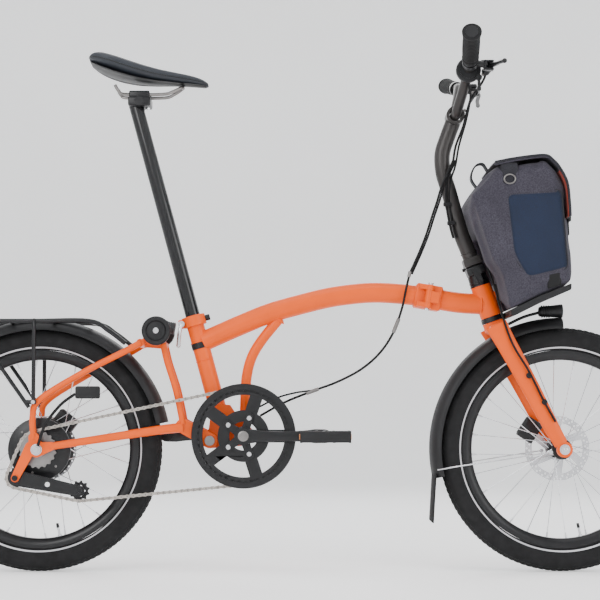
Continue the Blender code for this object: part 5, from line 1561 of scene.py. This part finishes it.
def simulate_cloth(obj, pressure, frames, cap):
    """Puffs the cloth up with pressure and no gravity, and moves each point by the cap at most."""
    scene = bpy.context.scene
    start = [v.co.copy() for v in obj.data.vertices]
    cloth = obj.modifiers.new("Cloth", "CLOTH")
    settings = cloth.settings
    settings.use_pressure = True
    settings.uniform_pressure_force = pressure
    settings.effector_weights.gravity = 0
    settings.tension_stiffness = 18
    settings.compression_stiffness = 6
    settings.bending_stiffness = 1.2
    settings.quality = 5
    cloth.point_cache.frame_start = 1
    cloth.point_cache.frame_end = frames
    for frame_number in range(1, frames + 1):
        scene.frame_set(frame_number)
    graph = bpy.context.evaluated_depsgraph_get()
    evaluated = obj.evaluated_get(graph)
    final = [v.co.copy() for v in evaluated.data.vertices]
    obj.modifiers.remove(cloth)
    scene.frame_set(1)
    for vert, before, after in zip(obj.data.vertices, start, final):
        move = after - before
        if move.length > cap:
            move *= cap / move.length
        vert.co = before + move


def build_bag():
    inset = 0.002
    middle = Vector((sum(x for x, z in BAG_OUTLINE) / 13, 0, sum(z for x, z in BAG_OUTLINE) / 13))
    knots = []
    for x, z in BAG_OUTLINE:
        out = Vector((x, 0, z)) - middle
        point = middle + out * (1 - inset / out.length)
        knots.append((point.x, point.z))
    form = plate(knots, 0, 2 * (BAG_HALF_WIDTH - inset))
    recesses = [box((0.3, -0.056, 0.578), (0.424, 0.056, 0.708), edge=0),
                box((0.3, -0.0245, 0.5), (0.441, 0.0245, 0.629), edge=0)]
    form = carve(form, *recesses)
    bpy.context.scene.collection.objects.link(form)
    remesh = form.modifiers.new("Remesh", "REMESH")
    remesh.mode = "VOXEL"
    remesh.voxel_size = 0.0055
    bpy.context.view_layer.update()
    graph = bpy.context.evaluated_depsgraph_get()
    mesh = bpy.data.meshes.new_from_object(form.evaluated_get(graph))
    bpy.data.objects.remove(form)
    body = bpy.data.objects.new("bag_body", mesh)
    bpy.context.scene.collection.objects.link(body)
    relax = bmesh.new()
    relax.from_mesh(mesh)
    for _ in range(3):
        bmesh.ops.smooth_vert(
            relax, verts=relax.verts, factor=0.5, use_axis_x=True, use_axis_y=True, use_axis_z=True
        )
    relax.to_mesh(mesh)
    relax.free()
    simulate_cloth(body, 4.0, 20, 0.006)
    for vert in mesh.vertices:
        x, y, z = vert.co
        wrinkle = noise.noise(Vector((x * 22, y * 14, z * 30))) * 0.0018
        sag = 0.0022 * math.sin((z - 0.56) * 11)
        vert.co.y += math.copysign(wrinkle + sag, y) if abs(y) > 0.1 else 0
        vert.co.y = max(-0.1325, min(0.1325, vert.co.y))
        floor_share = max(0.0, min(1.0, (0.64 - z) / 0.06))
        vert.co.z -= 0.0055 * floor_share
        vert.co.z = max(vert.co.z, 0.5475 + max(0.0, vert.co.x - 0.431) * 0.415)
        vert.co.x = min(vert.co.x, 0.56)
        vert.co.z = min(vert.co.z, 0.86)
    opened = bmesh.new()
    opened.from_mesh(mesh)
    gone = []
    for face in opened.faces:
        c = face.calc_center_median()
        if 0.413 < c.x < 0.497 and abs(c.y) < 0.117 and c.z > 0.8:
            gone.append(face)
    bmesh.ops.delete(opened, geom=gone, context="FACES")
    opened.to_mesh(mesh)
    opened.free()
    mesh.materials.clear()
    mesh.materials.append(BAG_CLOTH)
    wall = body.modifiers.new("Solidify", "SOLIDIFY")
    wall.thickness = 0.003
    wall.offset = -1
    subdivide(body)
    mesh.shade_smooth()
    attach(body, "bag")
    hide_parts("bag_body")
    build_bag_flap()
    build_bag_trim()


def build_bag_flap():
    """The padded lid, which lies over the mouth and hangs a little way down the front."""
    top = smooth_path(((0.401, 0, 0.8505), (0.43, 0, 0.8565), (0.47, 0, 0.8625), (0.506, 0, 0.865),
                       (0.5215, 0, 0.855), (0.5345, 0, 0.84), (0.55, 0, 0.809), (0.5545, 0, 0.77),
                       (0.556, 0, 0.74)), 5)
    bm = bmesh.new()
    across_count = 40
    rows = []
    for index, place in enumerate(top):
        share = index / (len(top) - 1)
        row = []
        for k in range(across_count + 1):
            u = 2 * k / across_count - 1
            drop = 0.006 * max(0, abs(u) - 0.9) / 0.1
            puff = 0.0016 * math.cos(u * math.pi / 2) + 0.0007 * noise.noise(Vector((u * 3, share * 6, 0)))
            z = place.z - drop * (1 - share) + puff * (1 - share)
            row.append(bm.verts.new((place.x + puff * share, u * 0.1315, z)))
        rows.append(row)
    for near, far in zip(rows, rows[1:]):
        bridge(bm, near, far, closed=False)
    lid = piece("bag_flap", sheet_shape(bm, 0.0036), "bag_flap", BAG_CLOTH, "bag_flap", bevel=0.0008)
    edge = [(p.x + 0.0002, -0.132, p.z) for p in top]
    binding = [tube(edge, 0.0026, level=4), tube([(x, -y, z) for x, y, z in edge], 0.0026, level=4)]
    last = top[-1]
    binding.append(tube([(last.x, -0.132, last.z), (last.x, 0.132, last.z)], 0.0026, level=4))
    piece("bag_flap_binding", binding, "bag_flap", WEBBING)
    inside = [(p.x - 0.0032, 0, p.z - 0.0018) for p in top[26:]]
    piece("bag_flap_lining", ribbon(inside, 0.1285, 0.0014), "bag_flap", LINING)
    strap = []
    for y in (-0.066, 0.066):
        strap.append(ribbon([(0.531, y, 0.8475), (0.5525, y, 0.808), (0.5585, y, 0.76), (0.56, y, 0.73),
                             (0.561, y, 0.705)], 0.0125, 0.0014))
    piece("bag_flap_straps", strap, "bag_flap", WEBBING)
    buckles = [box((0.5575, y - 0.0155, 0.733), (0.5655, y + 0.0155, 0.756), edge=0.0025)
               for y in (-0.066, 0.066)]
    piece("bag_flap_buckles", buckles, "bag_flap", PLASTIC)


def ribbon(points, half_width, thickness):
    """A flat strap along points, twice the half width across."""
    path = smooth_path(points, 5)
    side = Y_AXIS
    rings = []
    for index, place in enumerate(path):
        ahead = (path[min(index + 1, len(path) - 1)] - path[max(index - 1, 0)]).normalized()
        up = ahead.cross(side).normalized() * thickness / 2
        wide = side * half_width
        rings.append([place - wide - up, place - wide * 0.5 - up * 1.15, place + wide * 0.5 - up * 1.15,
                      place + wide - up, place + wide + up, place + wide * 0.5 + up * 1.15,
                      place - wide * 0.5 + up * 1.15, place - wide + up])
    return loft(rings)


def panel(outline, y, thickness, puff=0.0):
    """A stitched-on cloth panel on a side of the bag: rounded, and puffed in its middle."""
    cx = sum(x for x, z in outline) / len(outline)
    cz = sum(z for x, z in outline) / len(outline)
    side = math.copysign(1, y)
    bm = bmesh.new()
    rings = 9
    rows = []
    for r in range(rings):
        share = r / (rings - 1)
        height = thickness * (1 - share**6) + puff * (1 - share**2)
        reach = max(share, 0.02)
        rows.append([bm.verts.new((cx + (x - cx) * reach, y + side * height, cz + (z - cz) * reach))
                     for x, z in outline])
    for near, far in zip(rows, rows[1:]):
        bridge(bm, near, far)
    bm.faces.new(rows[0])
    base = [bm.verts.new((x, y - side * 0.004, z)) for x, z in outline]
    bridge(bm, rows[-1], base)
    bm.faces.new(base)
    return object_of(bm)


def rounded(corners, radius, per_corner=6):
    """An outline with its corners rounded by short curves."""
    outline = []
    count = len(corners)
    for index, corner in enumerate(corners):
        here = Vector(corner)
        before, after = Vector(corners[index - 1]), Vector(corners[(index + 1) % count])
        a = here + (before - here).normalized() * radius
        b = here + (after - here).normalized() * radius
        for step in range(per_corner + 1):
            t = step / per_corner
            point = (1 - t) ** 2 * a + 2 * t * (1 - t) * here + t * t * b
            outline.append((point.x, point.y))
    return outline


def stitch_line(outline, y):
    """Small stitches that stand proud along an outline at a side of the bag."""
    stitches = []
    side = math.copysign(1, y)
    points = [Vector((x, 0, z)) for x, z in outline]
    length = sum((b - a).length for a, b in zip(points, points[1:] + points[:1]))
    places = even_places(points, int(length / STITCH_SPACING))
    for a, b in zip(places, places[1:] + places[:1]):
        start, end = a + (b - a) * 0.12, a + (b - a) * 0.72
        stitches.append(tube([(start.x, y, start.z), (end.x, y + side * 0.0001, end.z)], 0.00035, level=1))
    return stitches


def build_bag_trim():
    pocket = rounded(((0.423, 0.788), (0.538, 0.794), (0.55, 0.629), (0.466, 0.608), (0.437, 0.66)), 0.014)
    seam = ((0.4265, 0.7845), (0.5345, 0.79), (0.5463, 0.6327), (0.4678, 0.612), (0.4405, 0.6615))
    inner = rounded(seam, 0.012)
    for name, side in (("right", -1), ("left", 1)):
        y = side * 0.131
        cloth = panel(pocket, y, 0.003, 0.0055)
        pocket_piece = piece(f"bag_pocket_{name}", cloth, "bag", POCKET_CLOTH, sharp=80)
        piece(f"bag_pocket_stitches_{name}", stitch_line(inner, side * 0.135), "bag", WEBBING, sharp=60)
        edge = [(x, side * 0.1308, z) for x, z in pocket]
        piece(f"bag_pocket_piping_{name}", tube(edge, 0.0017, level=3, closed=True), "bag", WEBBING)
        patch = rounded(((0.413, 0.848), (0.448, 0.85), (0.449, 0.804), (0.414, 0.799)), 0.006)
        piece(f"bag_ring_patch_{name}", panel(patch, side * 0.1305, 0.0026), "bag", WEBBING, sharp=80)
        angles = [math.tau * k / 32 for k in range(32)]
        middle = Vector((0.431, side * 0.1355, 0.815))
        ring = [middle + Vector((0.0115 * math.cos(a), 0, 0.0095 * math.sin(a))) for a in angles]
        piece(f"bag_ring_{name}", tube(ring, 0.0016, level=5, closed=True), "bag", DARK_STEEL)
    label = rounded(((0.508, 0.62), (0.536, 0.626), (0.536, 0.596), (0.508, 0.588)), 0.003)
    piece("bag_label", panel(label, -0.1308, 0.0022), "bag", RUBBER, sharp=80)
    handle = ribbon([(0.377, 0.0, 0.81), (0.364, 0.0, 0.833), (0.372, 0.0, 0.858), (0.388, 0.0, 0.864),
                     (0.3985, 0.0, 0.85)], 0.014, 0.003)
    piece("bag_handle", handle, "bag", WEBBING)
    outline = rounded(((0.4325, 0.545), (0.4325, 0.5345), (0.44, 0.533), (0.492, 0.559), (0.5572, 0.587),
                       (0.558, 0.6003), (0.4913, 0.5735)), 0.0035, 4)
    base = carve(plate(outline, 0, 2 * 0.127), box((0.3, -0.0225, 0.5), (0.439, 0.0225, 0.627), edge=0))
    piece("bag_base_tray", base, "bag", PLASTIC, "bag_base_tray", bevel=0.0022)


# Hoses


HOSE_RADIUS = 0.0026


def build_hoses():
    stem_route = (
        (0.36, -0.042, 0.996), (0.347, -0.024, 0.945), (0.33, -0.0215, 0.9), (0.323, -0.0205, 0.86),
        (0.312, -0.0205, 0.825), (0.309, -0.0205, 0.78), (0.317, -0.021, 0.73), (0.324, -0.0215, 0.703),
    )
    frame_route = (
        (0.23, -0.03, 0.626), (0.223, -0.029, 0.595), (0.213, -0.027, 0.55), (0.194, -0.02, 0.499),
        (0.165, -0.012, 0.457), (0.126, -0.006, 0.424), (0.076, -0.004, 0.398), (0.024, -0.004, 0.379),
        (-0.035, -0.004, 0.355), (-0.086, -0.006, 0.327),
    )
    for name, route, body in (("stem", stem_route, "stem"), ("frame", frame_route, "main_frame")):
        hose = tube(smooth_path(route, 5), HOSE_RADIUS, level=5)
        piece(f"brake_hose_{name}", hose, body, RUBBER, f"brake_hose_{name}")
    branches = []
    for side in (-1, 1):
        branch = (
            (0.385, side * 0.12, 1.0395),
            (0.383, side * 0.098, 1.03),
            (0.374, side * 0.07, 1.015),
            (0.36, -0.042 if side < 0 else -0.01, 0.996 - 0.003 * (side + 1)),
            (0.347, -0.024 + 0.006 * (side + 1) / 2, 0.945),
        )
        branches.append(tube(smooth_path(branch), 0.0025, level=4))
    wire = smooth_path(((0.348, -0.108, 1.025), (0.356, -0.08, 0.995), (0.35, -0.045, 0.95),
                        (0.337, -0.018, 0.9), (0.33, -0.015, 0.86), (0.319, -0.015, 0.825),
                        (0.316, -0.0155, 0.78), (0.324, -0.016, 0.73), (0.331, -0.016, 0.703)), 6)
    branches.append(tube(wire, 0.0022, level=4))
    piece("brake_hose_branches", branches, "stem", RUBBER)
    crossing = (
        ((0.325, -0.0205, 0.87), (0.312, -0.026, 0.842), (0.2985, -0.029, 0.811), (0.289, -0.03, 0.78)),
        ((0.289, -0.03, 0.78), (0.279, -0.031, 0.751), (0.271, -0.032, 0.726), (0.264, -0.0325, 0.705)),
        ((0.264, -0.0325, 0.705), (0.252, -0.0325, 0.675), (0.24, -0.0315, 0.648), (0.23, -0.03, 0.626)),
    )
    whole = smooth_path(crossing[0] + crossing[1][1:] + crossing[2][1:], 6)
    for index, name in enumerate(("upper", "middle", "lower")):
        run = whole[index * 18 : index * 18 + 19]
        beside = [p + Vector((0.0052, 0.0035, 0.0)) for p in run]
        pair = [tube(run, HOSE_RADIUS, level=4), tube(beside, 0.0021, level=4)]
        loop = piece(f"hose_loop_{name}", pair, None, RUBBER)
        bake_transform(loop)
    clips = [cylinder((x - 0.004, -0.0212, z), (x + 0.0125, -0.0185, z + 0.001), 0.0046, sides=20)
             for x, z in ((0.3075, 0.775), (0.3155, 0.735))]
    piece("hose_clips", clips, "stem", PLASTIC, bevel=0.0008)
    sleeves = []
    for start, end in (
        ((0.2075, -0.0255, 0.532), (0.196, -0.0207, 0.503)),
        ((0.038, -0.004, 0.3836), (0.012, -0.004, 0.3745)),
    ):
        sleeves.append(cylinder(start, end, 0.0042, sides=24))
    sleeves.append(cylinder((0.2285, -0.0298, 0.62), (0.2315, -0.0302, 0.632), 0.0038, sides=24))
    piece("hose_sleeves", sleeves, "main_frame", DARK_STEEL, bevel=0.0007)
    cable = smooth_path(((0.026, -0.0045, 0.3805), (-0.01, -0.008, 0.376), (-0.05, -0.01, 0.365),
                         (-0.09, -0.012, 0.345), (-0.13, -0.022, 0.332)), 5)
    piece("gear_cable_frame", tube(cable, 0.002, level=4), "main_frame", RUBBER)
    fork_hose = smooth_path(((0.395, -0.024, 0.64), (0.408, -0.04, 0.6), (0.418, -0.066, 0.55),
                             (0.44, -0.076, 0.48), (0.475, -0.076, 0.42), (0.505, -0.074, 0.36),
                             (0.53, -0.073, 0.315)), 6)
    piece("front_brake_hose", tube(fork_hose, 0.0024, level=4), "fork", RUBBER)


def build_all():
    build_stage()
    build_lights()
    build_camera()
    build_main_frame()
    build_pivot_hardware()
    build_seat_clamp()
    build_front_frame()
    build_fork()
    build_stem()
    build_bars()
    build_brakes()
    build_shifter()
    build_seat()
    build_saddle()
    build_front_wheel()
    build_rear_wheel()
    build_caliper("front_caliper", FRONT_AXLE, 146, 0.045, "fork")
    build_caliper("rear_caliper", REAR_AXLE, 52, 0.0465, "rear_frame")
    build_rear_frame()
    build_chain()
    build_tensioner()
    build_chainring()
    build_cranks()
    build_pedals()
    build_mudguards()
    build_rack()
    build_rear_fittings()
    build_headlight()
    build_bag()
    build_hoses()


build_all()
